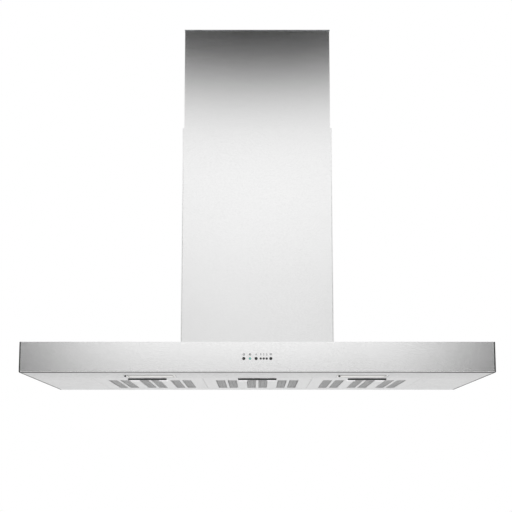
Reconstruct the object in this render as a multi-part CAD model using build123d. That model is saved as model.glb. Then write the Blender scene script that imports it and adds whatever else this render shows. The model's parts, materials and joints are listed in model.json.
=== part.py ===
from build123d import *
import math
import os

# Ceiling-hung island range hood. Millimetres, +Z up, +X to the right and -Y towards the control panel.
# The origin is the centre of the ceiling plate's top face. Everything hangs below it.

os.makedirs("parts", exist_ok=True)

# ---------------------------------------------------------------- whole hood
total_height = 973.0  # ceiling to the canopy's underside
least_height = 850.0  # with the tower pushed together
greatest_height = 1100.0  # with the tower pulled out
seat_gap = 0.3  # between a moving piece and what it rests on
fit_gap = 0.1  # round a shank, a pipe or a bush that does not turn
running_gap = 0.05  # round a pin or shaft that turns
past = 1.0  # how far a cutter reaches beyond the face it cuts

# ---------------------------------------------------------------- canopy
canopy_width = 1200.0
canopy_depth = 680.0
canopy_height = 78.0
canopy_sheet = 1.0
canopy_bend = 3.5
canopy_lip_bend = 1.5  # tighter bend along the top edge
canopy_lip = 15.0  # return flange round the open top
cover_sheet = 1.0
cover_margin = 6.0  # from the canopy's outside to the cover's edge
base_ring_sheet = 3.0
base_ring_edge = 12.0  # beyond the tower's feet

# ---------------------------------------------------------------- chimneys
lower_chimney_width = 412.0
lower_chimney_depth = 280.0
lower_chimney_length = 611.5
upper_chimney_length = 560.0
chimney_sheet = 1.0
chimney_bend = 3.5
chimney_play = 3.5  # between the lower chimney's inside and the upper one's outside
seam_tongue = 24.0  # width of the strip that joins the front and rear shells
seam_screw_setback = 6.0  # from the seam into the front shell
seam_screw_inset = 20.0  # from the lower chimney's ends

# ---------------------------------------------------------------- ceiling plate
plate_sheet = 2.5
plate_overhang = 1.0
ceiling_bolt_spacing_x = 300.0
ceiling_bolt_spacing_y = 200.0
ceiling_bolt_hole_radius = 4.5
plate_tab_width = 60.0
plate_tab_drop = 20.0
plate_tab_sheet = 2.0
plate_tab_place = 60.0  # tab centres, from the middle of the side
cable_hole_radius = 12.0
chimney_screw_drop = 10.0  # below the plate

# ---------------------------------------------------------------- telescopic tower
tower_gap = 6.0  # between the upper chimney's inside and the tower
tower_sheet = 2.0
tower_play = 0.5  # between the upper and lower channels
upper_tower_length = 600.0
lower_tower_length = 500.0
upper_tower_flange = 45.0
lower_tower_flange = 40.0
tower_window_width = 100.0
tower_window_height = 150.0
tower_window_pitch = 220.0
tower_tab_depth = 30.0
tower_tab_width = 120.0
tower_tab_bolt_spacing = 80.0
tower_tab_bolt_setback = 16.0  # from the channel's outside
tower_foot_depth = 10.0
tower_foot_width = 160.0
tower_foot_bolt_spacing = 120.0
foot_bolt_radius = 2.5
foot_bolt_head_radius = 4.0
foot_bolt_head_height = 2.5
foot_bolt_grip = 8.0
clamp_bolt_setback = 21.0  # from the lower channel's outside
clamp_bolt_drops = (30.0, 70.0)  # below the lower channel's top
clamp_bolt_radius = 3.0
clamp_bolt_head_radius = 5.5
clamp_bolt_head_height = 2.5
clamp_nut_radius = 5.5
clamp_nut_height = 5.0
tower_ring_sheet = 3.0
tower_ring_side = 40.0
tower_ring_end = 16.0

# ---------------------------------------------------------------- screws of the chimneys
chimney_screw_radius = 2.0
chimney_screw_head_radius = 3.5
chimney_screw_head_height = 1.2
chimney_screw_grip = 4.5
seam_screw_grip = 3.0
socket_share = 0.55  # hexagon socket, of the head's radius

# ---------------------------------------------------------------- blower
motor_box_gap = 1.5  # inside the lower channels
motor_box_sheet = 1.0
motor_box_height = 250.0
duct_offset = 30.0  # outlet centre, behind the hood's middle
duct_radius = 75.0  # outside of the outlet collar
collar_sheet = 1.2
collar_height = 65.0
collar_flange_radius = 88.0
collar_ledge_height = 28.0
collar_ledge_width = 4.0
duct_clearance = 10.0  # round the duct in the ceiling plate
scroll_offset = -15.0  # fan axis, in front of the hood's middle
scroll_drop = 131.0  # fan axis, below the motor box's top
scroll_throat = 80.0  # spiral radius at the tongue
scroll_mouth = 118.0  # spiral radius where the outlet starts
scroll_tongue_angle = 60.0
scroll_tongue_lead = 5.0  # by which the inner wall starts earlier
scroll_outlet_reach = 2.0  # outlet's front edge, in front of the fan axis
scroll_sheet = 1.2
scroll_half_width = 65.0
scroll_inlet_radius = 66.0
impeller_radius = 72.0
impeller_inner_radius = 61.0
impeller_half_width = 56.0
impeller_ring = 1.5
impeller_disc = 3.0
impeller_blades = 32
blade_sheet = 1.0
blade_turn = 28.0
hub_radius = 12.0
hub_length = 16.0
shaft_radius = 4.0
motor_radius = 40.0
motor_length = 62.0
motor_gap = 5.0  # between the impeller's disc and the motor
motor_cap_radius = 30.0
motor_cap_length = 6.0
bracket_sheet = 2.0
bracket_ring_radius = 80.0
bracket_arm_width = 14.0
bracket_collar = 4.0
bracket_collar_length = 12.0
bracket_arms = 3
flap_sheet = 1.5
flap_edge_gap = 1.3
flap_pin_radius = 2.0
flap_pin_offset = 2.5
flap_pin_end_gap = 0.4
capacitor_radius = 17.0
capacitor_height = 60.0
capacitor_place = -140.0
capacitor_tab = (6.0, 1.0, 8.0)
electronics_width = 87.0
electronics_depth = 110.0
electronics_height = 38.0
electronics_wall = 2.0
electronics_place = 138.0
terminal_size = (50.0, 22.0, 16.0)
terminal_ways = 5
terminal_screw_radius = 2.2
gland_bore_radius = 4.0
gland_radius = 8.0
gland_nut_radius = 11.0
gland_nut_height = 6.0
gland_length = 30.0
gland_inside = 8.0

# ---------------------------------------------------------------- filters
filter_count = 3
filter_pitch = 293.0
filter_gap = 1.0
filter_inset = 198.0  # opening's front edge, behind the canopy's front
filter_opening = 412.0
filter_front_gap = 0.6
filter_rear_gap = 1.2
filter_height = 13.0
filter_sheet = 1.0
filter_bend = 1.5
filter_lip = 6.0
window_pairs = 3
window_pair_pitch = 84.5
window_pair_spacing = 32.0
window_width = 25.0
window_length = 316.0
window_setback = 74.0
window_corner = 1.5
mesh_side_gap = 0.5
mesh_thickness = 4.0  # its layers rolled together
tab_spacing = 180.0
tab_width = 24.0
tab_sheet = 1.0
bead_width = 30.0
bead_radius = 1.5
bead_setback = 4.0  # behind the opening's rear edge
notch_depth = 2.6
notch_play = 2.0

# ---------------------------------------------------------------- filter latches
latch_travel = 6.0
latch_bar_width = 102.5
latch_bar_height = 4.2
latch_bar_depth = 6.0
latch_bar_place = 2.0  # behind the opening's front edge
latch_bar_round = 1.0
latch_slider_width = 60.0
latch_slider_length = 24.0
latch_slider_sheet = 2.0
latch_neck_width = 16.0
latch_neck_depth = 3.0
latch_boss_width = 10.0
latch_boss_depth = 4.0
latch_boss_height = 5.4
latch_pocket_height = 7.5
latch_pocket_length = 44.0
latch_play = 0.5
spring_radius = 1.9
spring_wire = 0.3
spring_turns = 6
spring_length = 13.0
spring_stop_sheet = 2.0
strike_gap = 0.3

# ---------------------------------------------------------------- filter rails
rail_sheet = 1.5
front_rail_foot = 19.0
front_rail_height = 13.0
rear_rail_foot = 18.0
rear_rail_height = 9.0
rear_rail_setback = 7.0
rear_rail_lip = 5.5

# ---------------------------------------------------------------- lamps
lamp_places = (-278.5, 273.5)
lamp_inset = 80.0
lamp_width = 135.4
lamp_depth = 86.0
lamp_corner = 2.0
lamp_height = 28.0
lamp_wall = 1.5
lamp_flange = 8.0
lamp_fit = 0.3
cover_play = 0.5
lamp_cover_sheet = 3.0
lamp_pin_radius = 1.2
lamp_knuckle_radius = 1.8
lamp_pin_reach = 1.2
catch_inset = 3.5
catch_head_radius = 2.5
catch_head_height = 4.2  # deep enough to be gripped with two fingers
catch_setback = 6.0  # behind the cover's front edge
catch_shank_radius = 1.6
catch_length = 7.5
catch_boss_size = 9.0
board_sheet = 1.6
lamp_board_margin = 6.0
led_size = 5.0
led_height = 1.5
led_columns = 4
led_rows = 2
led_spacing = 28.0

# ---------------------------------------------------------------- controls
control_height = 35.5  # row of buttons, above the canopy's underside
button_places = (-34.0, -3.0, 34.0)
button_radius = 3.75
button_proud = 1.2
button_gap = 0.25
button_collar_radius = 5.5
button_collar_sheet = 1.2
button_stem_radius = 2.5
button_travel = 1.0
filter_light_place = -18.3
filter_light_radius = 2.0
filter_light_proud = 0.2
speed_light_first = 8.6
speed_light_pitch = 7.5
speed_light_count = 3
speed_light_radius = 1.5
control_width = 120.0
control_wall = 2.0
control_box_height = 34.0
control_box_depth = 30.0
board_depth = 13.0  # board's front face, behind the canopy's front wall
board_clearance = 0.2
switch_size = 6.0
switch_depth = 4.0
plunger_radius = 1.6
plunger_length = 1.4
plunger_gap = 0.2


# ================================================================ helpers
def block(x, y, z):
    """A box from its (low, high) span along each axis."""
    spans = (x, y, z)
    size = [high - low for low, high in spans]
    centre = [(high + low) / 2 for low, high in spans]
    return Pos(*centre) * Box(*size)


def about(centre, size):
    """A span of that size, centred there."""
    return (centre - size / 2, centre + size / 2)


def rod(start, direction, radius, length):
    """A round bar from start, that long in that direction."""
    bar = Cylinder(radius, length, align=(Align.CENTER, Align.CENTER, Align.MIN))
    return Plane(origin=start, z_dir=direction) * bar


def ring(start, direction, outer, inner, length):
    """A round bar with a round hole through it."""
    behind = [place - past * step for place, step in zip(start, direction)]
    return rod(start, direction, outer, length) - rod(behind, direction, inner, length + 2 * past)


def inset(half, amount):
    """Half sizes (x, y), each smaller by that amount."""
    return (half[0] - amount, half[1] - amount)


def footprint(half, z):
    """A box with those half sizes about the middle, over that span of height."""
    return block((-half[0], half[0]), (-half[1], half[1]), z)


def screw(seat, outward, shank_radius, grip, head_radius, head_height):
    """A socket-head screw whose head sits on seat and points outward."""
    inward = [-step for step in outward]
    head = rod(seat, outward, head_radius, head_height)
    socket_depth = head_height * socket_share
    floor = [place + step * (head_height - socket_depth) for place, step in zip(seat, outward)]
    hexagon = extrude(RegularPolygon(head_radius * socket_share, 6), socket_depth + past)
    socket = Plane(origin=floor, z_dir=outward) * hexagon
    return head - socket + rod(seat, inward, shank_radius, grip)


def upright_edges(shape):
    return shape.edges().filter_by(Axis.Z)


# ================================================================ levels and nested sizes
plate_bottom = -plate_sheet
canopy_bottom = -total_height
canopy_top = canopy_bottom + canopy_height
canopy_floor = canopy_bottom + canopy_sheet  # upper face of the underside sheet
cover_top = canopy_top - canopy_sheet
cover_bottom = cover_top - cover_sheet
motor_box_top = cover_top + motor_box_height
canopy_half = (canopy_width / 2, canopy_depth / 2)
canopy_front = -canopy_half[1]
front_wall_inside = canopy_front + canopy_sheet

lower_chimney_outside = (lower_chimney_width / 2, lower_chimney_depth / 2)
lower_chimney_inside = inset(lower_chimney_outside, chimney_sheet)
upper_chimney_outside = inset(lower_chimney_inside, chimney_play)
upper_chimney_inside = inset(upper_chimney_outside, chimney_sheet)
upper_tower_outside = inset(upper_chimney_inside, tower_gap)
upper_tower_inside = inset(upper_tower_outside, tower_sheet)
lower_tower_outside = inset(upper_tower_inside, tower_play)
lower_tower_inside = inset(lower_tower_outside, tower_sheet)
motor_box_outside = inset(lower_tower_inside, motor_box_gap)
motor_box_inside = inset(motor_box_outside, motor_box_sheet)

lower_chimney_bottom = cover_top + seat_gap
lower_chimney_top = lower_chimney_bottom + lower_chimney_length
upper_chimney_bottom = plate_bottom - upper_chimney_length
lower_tower_top = cover_top + lower_tower_length
upper_tower_bottom = plate_bottom - upper_tower_length
clamp_bolt_x = lower_tower_outside[0] - clamp_bolt_setback
clamp_bolt_levels = [lower_tower_top - drop for drop in clamp_bolt_drops]
hood_rise = total_height - least_height
hood_drop = greatest_height - total_height
tab_bolt_x = upper_tower_outside[0] - tower_tab_bolt_setback
foot_bolt_x = lower_tower_outside[0] + tower_foot_depth / 2
foot_reach = lower_tower_outside[0] + tower_foot_depth

filter_front = canopy_front + filter_inset
filter_rear = filter_front + filter_opening
filter_width = filter_pitch - filter_gap
filter_places = [filter_pitch * (index - (filter_count - 1) / 2) for index in range(filter_count)]
opening_half_width = (filter_count * filter_pitch + filter_gap) / 2
bead_y = filter_rear + bead_setback
bead_z = canopy_floor + seat_gap + bead_radius

lamp_front = canopy_front + lamp_inset
lamp_middle = lamp_front + lamp_depth / 2
control_z = canopy_bottom + control_height
board_front = front_wall_inside + board_depth

# ================================================================ ceiling plate and chimneys
chimney_screw_z = plate_bottom - chimney_screw_drop
seam_screw_levels = [
    lower_chimney_bottom + seam_screw_inset,
    (lower_chimney_bottom + lower_chimney_top) / 2,
    lower_chimney_top - seam_screw_inset,
]
chimney_screw_points = [(y, chimney_screw_z) for y in (-plate_tab_place, plate_tab_place)]
seam_screw_points = [(-seam_screw_setback, z) for z in seam_screw_levels]


def side_holes(half, points, grip):
    """Cutters for the screws that go through both sides at those (y, z) points."""
    radius = chimney_screw_radius + fit_gap
    for y, z in points:
        for side in (-1, 1):
            yield rod((side * (half[0] + past), y, z), (-side, 0, 0), radius, grip + past)


def side_screws(half, points, grip):
    """Screws whose heads sit on both outer sides at those (y, z) points."""
    screws = []
    for y, z in points:
        for side in (-1, 1):
            seat = (side * half[0], y, z)
            sizes = (chimney_screw_radius, grip, chimney_screw_head_radius, chimney_screw_head_height)
            screws.append(screw(seat, (side, 0, 0), *sizes))
    return Compound(screws)


def chimney_tube(outside, z):
    """The four-sided tube that a front and a rear shell make together."""
    outer = footprint(outside, z)
    inner = footprint(inset(outside, chimney_sheet), (z[0] - past, z[1] + past))
    outer = fillet(upright_edges(outer), chimney_bend)
    inner = fillet(upright_edges(inner), chimney_bend - chimney_sheet)
    return outer - inner


def chimney_front(outside, z, holes):
    """U-shaped front shell, from the middle of one side round the front to the other."""
    shell = chimney_tube(outside, z)
    shell -= block((-outside[0] - past, outside[0] + past), (0, outside[1] + past), (z[0] - past, z[1] + past))
    for hole in holes:
        shell -= hole
    return shell


def chimney_rear(outside, z, holes):
    """U-shaped rear shell with a tongue on each side that reaches behind the front shell."""
    shell = chimney_tube(outside, z)
    shell -= block((-outside[0] - past, outside[0] + past), (-outside[1] - past, 0), (z[0] - past, z[1] + past))
    face = outside[0] - chimney_sheet
    for side in (-1, 1):
        across = sorted((side * (face - chimney_sheet), side * face))
        shell += block(across, about(0, seam_tongue), z)
    for hole in holes:
        shell -= hole
    return shell


def ceiling_plate():
    """Flat plate against the ceiling, with four tabs that hold the upper chimney's sides."""
    edge = inset(upper_chimney_outside, -plate_overhang)
    plate = footprint(edge, (plate_bottom, 0))
    face = upper_chimney_inside[0]
    for side in (-1, 1):
        across = sorted((side * (face - plate_tab_sheet), side * face))
        for place in (-plate_tab_place, plate_tab_place):
            drop = (plate_bottom - plate_tab_drop, plate_bottom)
            plate += block(across, about(place, plate_tab_width), drop)
    through = 2 * past + plate_sheet
    low = plate_bottom - past
    plate -= rod((0, duct_offset, low), (0, 0, 1), duct_radius + duct_clearance, through)
    plate -= rod((electronics_place, 0, low), (0, 0, 1), cable_hole_radius, through)
    for x in about(0, ceiling_bolt_spacing_x):
        for y in about(0, ceiling_bolt_spacing_y):
            plate -= rod((x, y, low), (0, 0, 1), ceiling_bolt_hole_radius, through)
    for side in (-1, 1):
        for y in about(0, tower_tab_bolt_spacing):
            hole_radius = foot_bolt_radius + fit_gap
            plate -= rod((side * tab_bolt_x, y, low), (0, 0, 1), hole_radius, through)
    grip = chimney_sheet + plate_tab_sheet + past
    for hole in side_holes(upper_chimney_outside, chimney_screw_points, grip):
        plate -= hole
    return plate


# ================================================================ telescopic tower
def channel(outside, flange, z, windows):
    """Right-hand channel: a web along the side and a flange at the front and rear."""
    x, y = outside
    shape = block((x - flange, x), (-y, y), z)
    hollow_y = y - tower_sheet
    shape -= block((x - flange - past, x - tower_sheet), (-hollow_y, hollow_y), (z[0] - past, z[1] + past))
    across = (x - tower_sheet - past, x + past)
    for level in windows:
        shape -= block(across, about(0, tower_window_width), about(level, tower_window_height))
    return shape


def window_levels(z):
    """Middles of the two windows in a channel's web."""
    middle = (z[0] + z[1]) / 2
    return about(middle, tower_window_pitch)


def upper_tower_right():
    """Outer channel, screwed to the ceiling plate, with a slot in each flange for the clamp bolts."""
    z = (upper_tower_bottom, plate_bottom)
    shape = channel(upper_tower_outside, upper_tower_flange, z, window_levels(z))
    x = upper_tower_outside[0]
    tab = block((x - tower_tab_depth, x - tower_sheet), about(0, tower_tab_width), (z[1] - tower_sheet, z[1]))
    for y in about(0, tower_tab_bolt_spacing):
        start = (tab_bolt_x, y, z[1] - tower_sheet - past)
        tab -= rod(start, (0, 0, 1), foot_bolt_radius + fit_gap, tower_sheet + 2 * past)
    shape += tab
    slot_radius = clamp_bolt_radius + fit_gap
    slot = (min(clamp_bolt_levels) - hood_drop, max(clamp_bolt_levels) + hood_rise)
    for side in (-1, 1):
        wall = sorted((side * (upper_tower_inside[1] - past), side * (upper_tower_outside[1] + past)))
        shape -= block(about(clamp_bolt_x, 2 * slot_radius), wall, slot)
        for level in slot:
            start = (clamp_bolt_x, wall[0], level)
            shape -= rod(start, (0, 1, 0), slot_radius, wall[1] - wall[0])
    return shape


def lower_tower_right():
    """Inner channel, bolted through the top cover, that carries the clamp bolts."""
    z = (cover_top, lower_tower_top)
    shape = channel(lower_tower_outside, lower_tower_flange, z, window_levels(z))
    reach = (lower_tower_outside[0] - tower_sheet, foot_reach)
    shape += block(reach, about(0, tower_foot_width), (z[0], z[0] + tower_sheet))
    for y in about(0, tower_foot_bolt_spacing):
        start = (foot_bolt_x, y, z[0] - past)
        shape -= rod(start, (0, 0, 1), foot_bolt_radius + fit_gap, tower_sheet + 2 * past)
    length = 2 * (lower_tower_outside[1] + past)
    for level in clamp_bolt_levels:
        start = (clamp_bolt_x, -length / 2, level)
        shape -= rod(start, (0, 1, 0), clamp_bolt_radius + fit_gap, length)
    return shape


def tower_ring():
    """Flat ring on top of the lower channels, which keeps them square."""
    z = (lower_tower_top, lower_tower_top + tower_ring_sheet)
    shape = footprint(lower_tower_outside, z)
    x = lower_tower_outside[0] - tower_ring_side
    y = lower_tower_outside[1] - tower_ring_end
    return shape - footprint((x, y), (z[0] - past, z[1] + past))


def clamp_bolts():
    """Bolts through the upper channels' slots, with their nuts inside the lower channels."""
    bolts = []
    head_seat = upper_tower_outside[1] + seat_gap
    nut_seat = lower_tower_inside[1]
    grip = head_seat - nut_seat + clamp_nut_height
    sizes = (clamp_bolt_radius, grip, clamp_bolt_head_radius, clamp_bolt_head_height)
    hexagon = extrude(RegularPolygon(clamp_nut_radius, 6), clamp_nut_height)
    for x in (-clamp_bolt_x, clamp_bolt_x):
        for side in (-1, 1):
            for level in clamp_bolt_levels:
                bolt = screw((x, side * head_seat, level), (0, side, 0), *sizes)
                nut = Plane(origin=(x, side * nut_seat, level), z_dir=(0, -side, 0)) * hexagon
                bolts.append(bolt + nut)
    return bolts


def foot_bolts():
    """Bolts that hold the tower's feet to the base ring under the top cover."""
    sizes = (foot_bolt_radius, foot_bolt_grip, foot_bolt_head_radius, foot_bolt_head_height)
    seat = cover_top + tower_sheet
    return [
        screw((x, y, seat), (0, 0, 1), *sizes)
        for x in (-foot_bolt_x, foot_bolt_x)
        for y in about(0, tower_foot_bolt_spacing)
    ]


def ceiling_tab_bolts():
    """Bolts that hold the upper channels' tabs to the ceiling plate, heads below."""
    grip = tower_sheet + plate_sheet
    sizes = (foot_bolt_radius, grip, foot_bolt_head_radius, foot_bolt_head_height)
    seat = plate_bottom - tower_sheet
    return [
        screw((x, y, seat), (0, 0, -1), *sizes)
        for x in (-tab_bolt_x, tab_bolt_x)
        for y in about(0, tower_tab_bolt_spacing)
    ]


# ================================================================ canopy
def rounded_box(half, z, radius, top_radius):
    """Box with rounded edges, whose top edges have their own radius."""
    shape = footprint(half, z)
    top = shape.edges().group_by(Axis.Z)[-1]
    shape = fillet([edge for edge in shape.edges() if edge not in top], radius)
    return fillet(shape.faces().sort_by(Axis.Z)[-1].edges(), top_radius)


def lamp_opening(place, margin, z):
    """Rounded rectangle of a lamp's opening, smaller by margin on every side."""
    width = lamp_width - 2 * margin
    depth = lamp_depth - 2 * margin
    shape = block(about(place, width), about(lamp_middle, depth), z)
    return fillet(upright_edges(shape), max(lamp_corner - margin, lamp_corner / 4))


def light_places():
    return [speed_light_first + speed_light_pitch * index for index in range(speed_light_count)]


def front_holes(depth, button_play):
    """Cutters through the front wall for the buttons and lights."""
    start_y = canopy_front - past
    length = depth + 2 * past
    for x in button_places:
        yield rod((x, start_y, control_z), (0, 1, 0), button_radius + button_play, length)
    for x in light_places():
        yield rod((x, start_y, control_z), (0, 1, 0), speed_light_radius + fit_gap, length)
    start = (filter_light_place, start_y, control_z)
    yield rod(start, (0, 1, 0), filter_light_radius + fit_gap, length)


def canopy_shell():
    """Folded sheet canopy: underside, four walls and a return lip round the open top."""
    outer = rounded_box(canopy_half, (canopy_bottom, canopy_top), canopy_bend, canopy_lip_bend)
    inner_z = (canopy_floor, canopy_top - canopy_sheet)
    radii = (canopy_bend - canopy_sheet, canopy_lip_bend - canopy_sheet)
    shape = outer - rounded_box(inset(canopy_half, canopy_sheet), inner_z, *radii)
    shape -= footprint(inset(canopy_half, canopy_lip), (cover_bottom, canopy_top + past))
    through = (canopy_bottom - past, canopy_floor + past)
    across = (-opening_half_width, opening_half_width)
    shape -= block(across, (filter_front, filter_rear), through)
    for place in filter_places:
        for x in about(place, tab_spacing):
            notch = (filter_rear - past, filter_rear + notch_depth)
            shape -= block(about(x, bead_width + 2 * notch_play), notch, through)
    for place in lamp_places:
        shape -= lamp_opening(place, 0, through)
    for hole in front_holes(canopy_sheet, button_gap):
        shape -= hole
    return shape


def foot_holes(low, high):
    """Cutters for the tower's foot bolts, over that span of height."""
    radius = foot_bolt_radius + fit_gap
    for x in (-foot_bolt_x, foot_bolt_x):
        for y in about(0, tower_foot_bolt_spacing):
            yield rod((x, y, low), (0, 0, 1), radius, high - low)


def top_cover():
    """Flat lid under the canopy's lip, open below the motor box."""
    shape = footprint(inset(canopy_half, cover_margin), (cover_bottom, cover_top))
    shape -= footprint(motor_box_inside, (cover_bottom - past, cover_top + past))
    for hole in foot_holes(cover_bottom - past, cover_top + past):
        shape -= hole
    return shape


def base_ring():
    """Thick ring under the top cover, which the tower's feet are bolted to."""
    z = (cover_bottom - base_ring_sheet, cover_bottom)
    edge = (foot_reach + base_ring_edge, motor_box_outside[1] + 2 * base_ring_edge)
    shape = footprint(edge, z) - footprint(motor_box_inside, (z[0] - past, z[1] + past))
    for hole in foot_holes(z[0] - past, z[1] + past):
        shape -= hole
    return shape


def front_rail():
    """Angle along the opening's front edge, slotted for the latch tongues."""
    rear_face = filter_front - canopy_sheet
    across = (-opening_half_width, opening_half_width)
    shape = block(across, (rear_face - front_rail_foot, rear_face), (canopy_floor, canopy_floor + rail_sheet))
    shape += block(across, (rear_face - rail_sheet, rear_face), (canopy_floor, canopy_floor + front_rail_height))
    slot_z = (slider_bottom - latch_play, slider_bottom + latch_slider_sheet + latch_play)
    for place in filter_places:
        slot = about(place, latch_slider_width + 2 * latch_play)
        shape -= block(slot, (rear_face - rail_sheet - past, rear_face + past), slot_z)
    return shape


def rear_rail():
    """Channel behind the opening, whose lip keeps the filters' beads from lifting out."""
    front_face = filter_rear + rear_rail_setback
    across = (-opening_half_width, opening_half_width)
    top = canopy_floor + rear_rail_height
    foot_z = (canopy_floor, canopy_floor + rail_sheet)
    shape = block(across, (front_face, front_face + rear_rail_foot), foot_z)
    shape += block(across, (front_face, front_face + rail_sheet), (canopy_floor, top))
    lip = (front_face + rail_sheet - rear_rail_lip, front_face + rail_sheet)
    return shape + block(across, lip, (top - rail_sheet, top))


# ================================================================ blower
scroll_z = motor_box_top - scroll_drop
motor_box_ceiling = motor_box_top - motor_box_sheet


def spiral_point(angle, margin):
    """(y, z) on the scroll: the radius grows evenly with the angle, from the throat to the mouth."""
    turned = (angle - scroll_tongue_angle) / (360 - scroll_tongue_angle)
    radius = scroll_throat + (scroll_mouth - scroll_throat) * turned - margin
    turn = math.radians(angle)
    return (scroll_offset + radius * math.cos(turn), scroll_z + radius * math.sin(turn))


def scroll_face(margin, top):
    """Outline of the scroll in the YZ plane, moved inwards by margin and open towards top."""
    start = scroll_tongue_angle - (scroll_tongue_lead if margin else 0)
    steps = 5
    span = (360 - start) / steps
    edges = []
    for step in range(steps):
        first = start + span * step
        points = [spiral_point(first + span * part, margin) for part in (0, 0.5, 1)]
        edges.append(ThreePointArc(*[(0, y, z) for y, z in points]))
    mouth_y, mouth_z = spiral_point(360, margin)
    tongue_y, tongue_z = spiral_point(start, margin)
    outlet_front = scroll_offset - scroll_outlet_reach + margin
    edges.append(Line((0, mouth_y, mouth_z), (0, mouth_y, top)))
    edges.append(Line((0, mouth_y, top), (0, outlet_front, top)))
    edges.append(Line((0, outlet_front, top), (0, tongue_y, tongue_z)))
    return make_face(edges)


def scroll_housing_right():
    """Right half of the snail-shaped housing, with its round inlet."""
    outer = extrude(scroll_face(0, motor_box_ceiling), scroll_half_width, dir=(1, 0, 0))
    hollow = extrude(scroll_face(scroll_sheet, motor_box_ceiling), scroll_half_width - scroll_sheet, dir=(1, 0, 0))
    centre = (scroll_half_width - scroll_sheet - past, scroll_offset, scroll_z)
    inlet = rod(centre, (1, 0, 0), scroll_inlet_radius, scroll_sheet + 2 * past)
    return outer - hollow - inlet


def motor_box():
    """Sheet box over the blower, open to the canopy below and to the outlet above."""
    shape = footprint(motor_box_outside, (cover_top, motor_box_top))
    shape -= footprint(motor_box_inside, (cover_top - past, motor_box_ceiling))
    start = (0, duct_offset, motor_box_ceiling - past)
    return shape - rod(start, (0, 0, 1), duct_radius - collar_sheet, motor_box_sheet + 2 * past)


def impeller():
    """Double-inlet drum: a middle disc, a ring at each end and slanted blades between them."""
    width = 2 * impeller_half_width
    centre = (scroll_offset, scroll_z)
    drum = ring((-impeller_disc / 2, *centre), (1, 0, 0), impeller_radius, hub_radius - past, impeller_disc)
    for start in (-impeller_half_width, impeller_half_width - impeller_ring):
        place = (start, *centre)
        drum += ring(place, (1, 0, 0), impeller_radius, impeller_inner_radius, impeller_ring)
    middle = (impeller_radius + impeller_inner_radius) / 2
    chord = impeller_radius - impeller_inner_radius - past
    blade = Pos(0, 0, middle) * Rot(blade_turn, 0, 0) * Box(width, blade_sheet, chord)
    axle = Pos(0, *centre)
    blades = [axle * Rot(360 * index / impeller_blades, 0, 0) * blade for index in range(impeller_blades)]
    drum += blades
    hub_start = (-impeller_disc / 2, *centre)
    return drum + ring(hub_start, (1, 0, 0), hub_radius, shaft_radius + fit_gap / 5, hub_length)


motor_face = -impeller_disc / 2 - motor_gap
motor_end = motor_face - motor_length


def motor_shaft():
    """Shaft from the motor's far end to the end of the impeller's hub."""
    start = (motor_end + motor_cap_length, scroll_offset, scroll_z)
    length = -impeller_disc / 2 + hub_length - start[0]
    return rod(start, (1, 0, 0), shaft_radius, length)


def motor():
    """Motor can with a smaller end cap and a bore for the shaft."""
    start = (motor_end, scroll_offset, scroll_z)
    shape = rod(start, (1, 0, 0), motor_radius, motor_length)
    shape = fillet(shape.edges(), motor_cap_length / 3)
    shape += rod((motor_end - motor_cap_length, *start[1:]), (1, 0, 0), motor_cap_radius, motor_cap_length)
    bore_start = (motor_end + motor_cap_length - fit_gap, *start[1:])
    return shape - rod(bore_start, (1, 0, 0), shaft_radius + running_gap, motor_length)


def motor_bracket():
    """Spider on the left inlet: an outer ring, arms and a collar round the motor."""
    start = (-scroll_half_width - bracket_sheet, scroll_offset, scroll_z)
    collar_inner = motor_radius + fit_gap
    collar_outer = motor_radius + bracket_collar
    shape = ring(start, (1, 0, 0), bracket_ring_radius, scroll_inlet_radius, bracket_sheet)
    shape += ring(start, (1, 0, 0), collar_outer, collar_inner, bracket_collar_length)
    arm_reach = (collar_inner + bracket_collar / 2, scroll_inlet_radius + bracket_sheet)
    arm = block((start[0], start[0] + bracket_sheet), about(0, bracket_arm_width), arm_reach)
    for index in range(bracket_arms):
        turned = Rot(360 * index / bracket_arms, 0, 0) * arm
        shape += Pos(0, scroll_offset, scroll_z) * turned
    return shape


collar_top = motor_box_top + collar_height
ledge_top = motor_box_top + collar_ledge_height
collar_bore = duct_radius - collar_sheet
flap_bottom = ledge_top + seat_gap
flap_pin_z = flap_bottom + flap_sheet / 2


def outlet_collar():
    """Round spigot for the duct, with a ledge that the damper flaps fall onto."""
    start = (0, duct_offset, motor_box_top)
    shape = ring(start, (0, 0, 1), duct_radius, collar_bore, collar_height)
    shape += ring(start, (0, 0, 1), collar_flange_radius, collar_bore, collar_sheet)
    ledge_start = (0, duct_offset, ledge_top - collar_sheet)
    ledge = ring(ledge_start, (0, 0, 1), collar_bore + collar_sheet / 2, collar_bore - collar_ledge_width, collar_sheet)
    pins_half = flap_pin_offset + 2 * flap_pin_radius
    clear = block((-pins_half, pins_half), about(duct_offset, 2 * collar_bore), (ledge_top - 2 * past, ledge_top + past))
    shape += ledge - clear
    length = 2 * (duct_radius + past)
    for x in (-flap_pin_offset, flap_pin_offset):
        hole_start = (x, duct_offset - length / 2, flap_pin_z)
        shape -= rod(hole_start, (0, 1, 0), flap_pin_radius + running_gap, length)
    return shape


def damper_flap_right():
    """Half-moon flap with its pin along the straight edge."""
    plate = rod((0, duct_offset, flap_bottom), (0, 0, 1), collar_bore - flap_edge_gap, flap_sheet)
    beyond = 2 * duct_radius
    plate &= block((flap_pin_offset, beyond), about(duct_offset, beyond), (flap_bottom - past, flap_bottom + 2 * past))
    length = 2 * (duct_radius - flap_pin_end_gap)
    return plate + rod((flap_pin_offset, duct_offset - length / 2, flap_pin_z), (0, 1, 0), flap_pin_radius, length)


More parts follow.
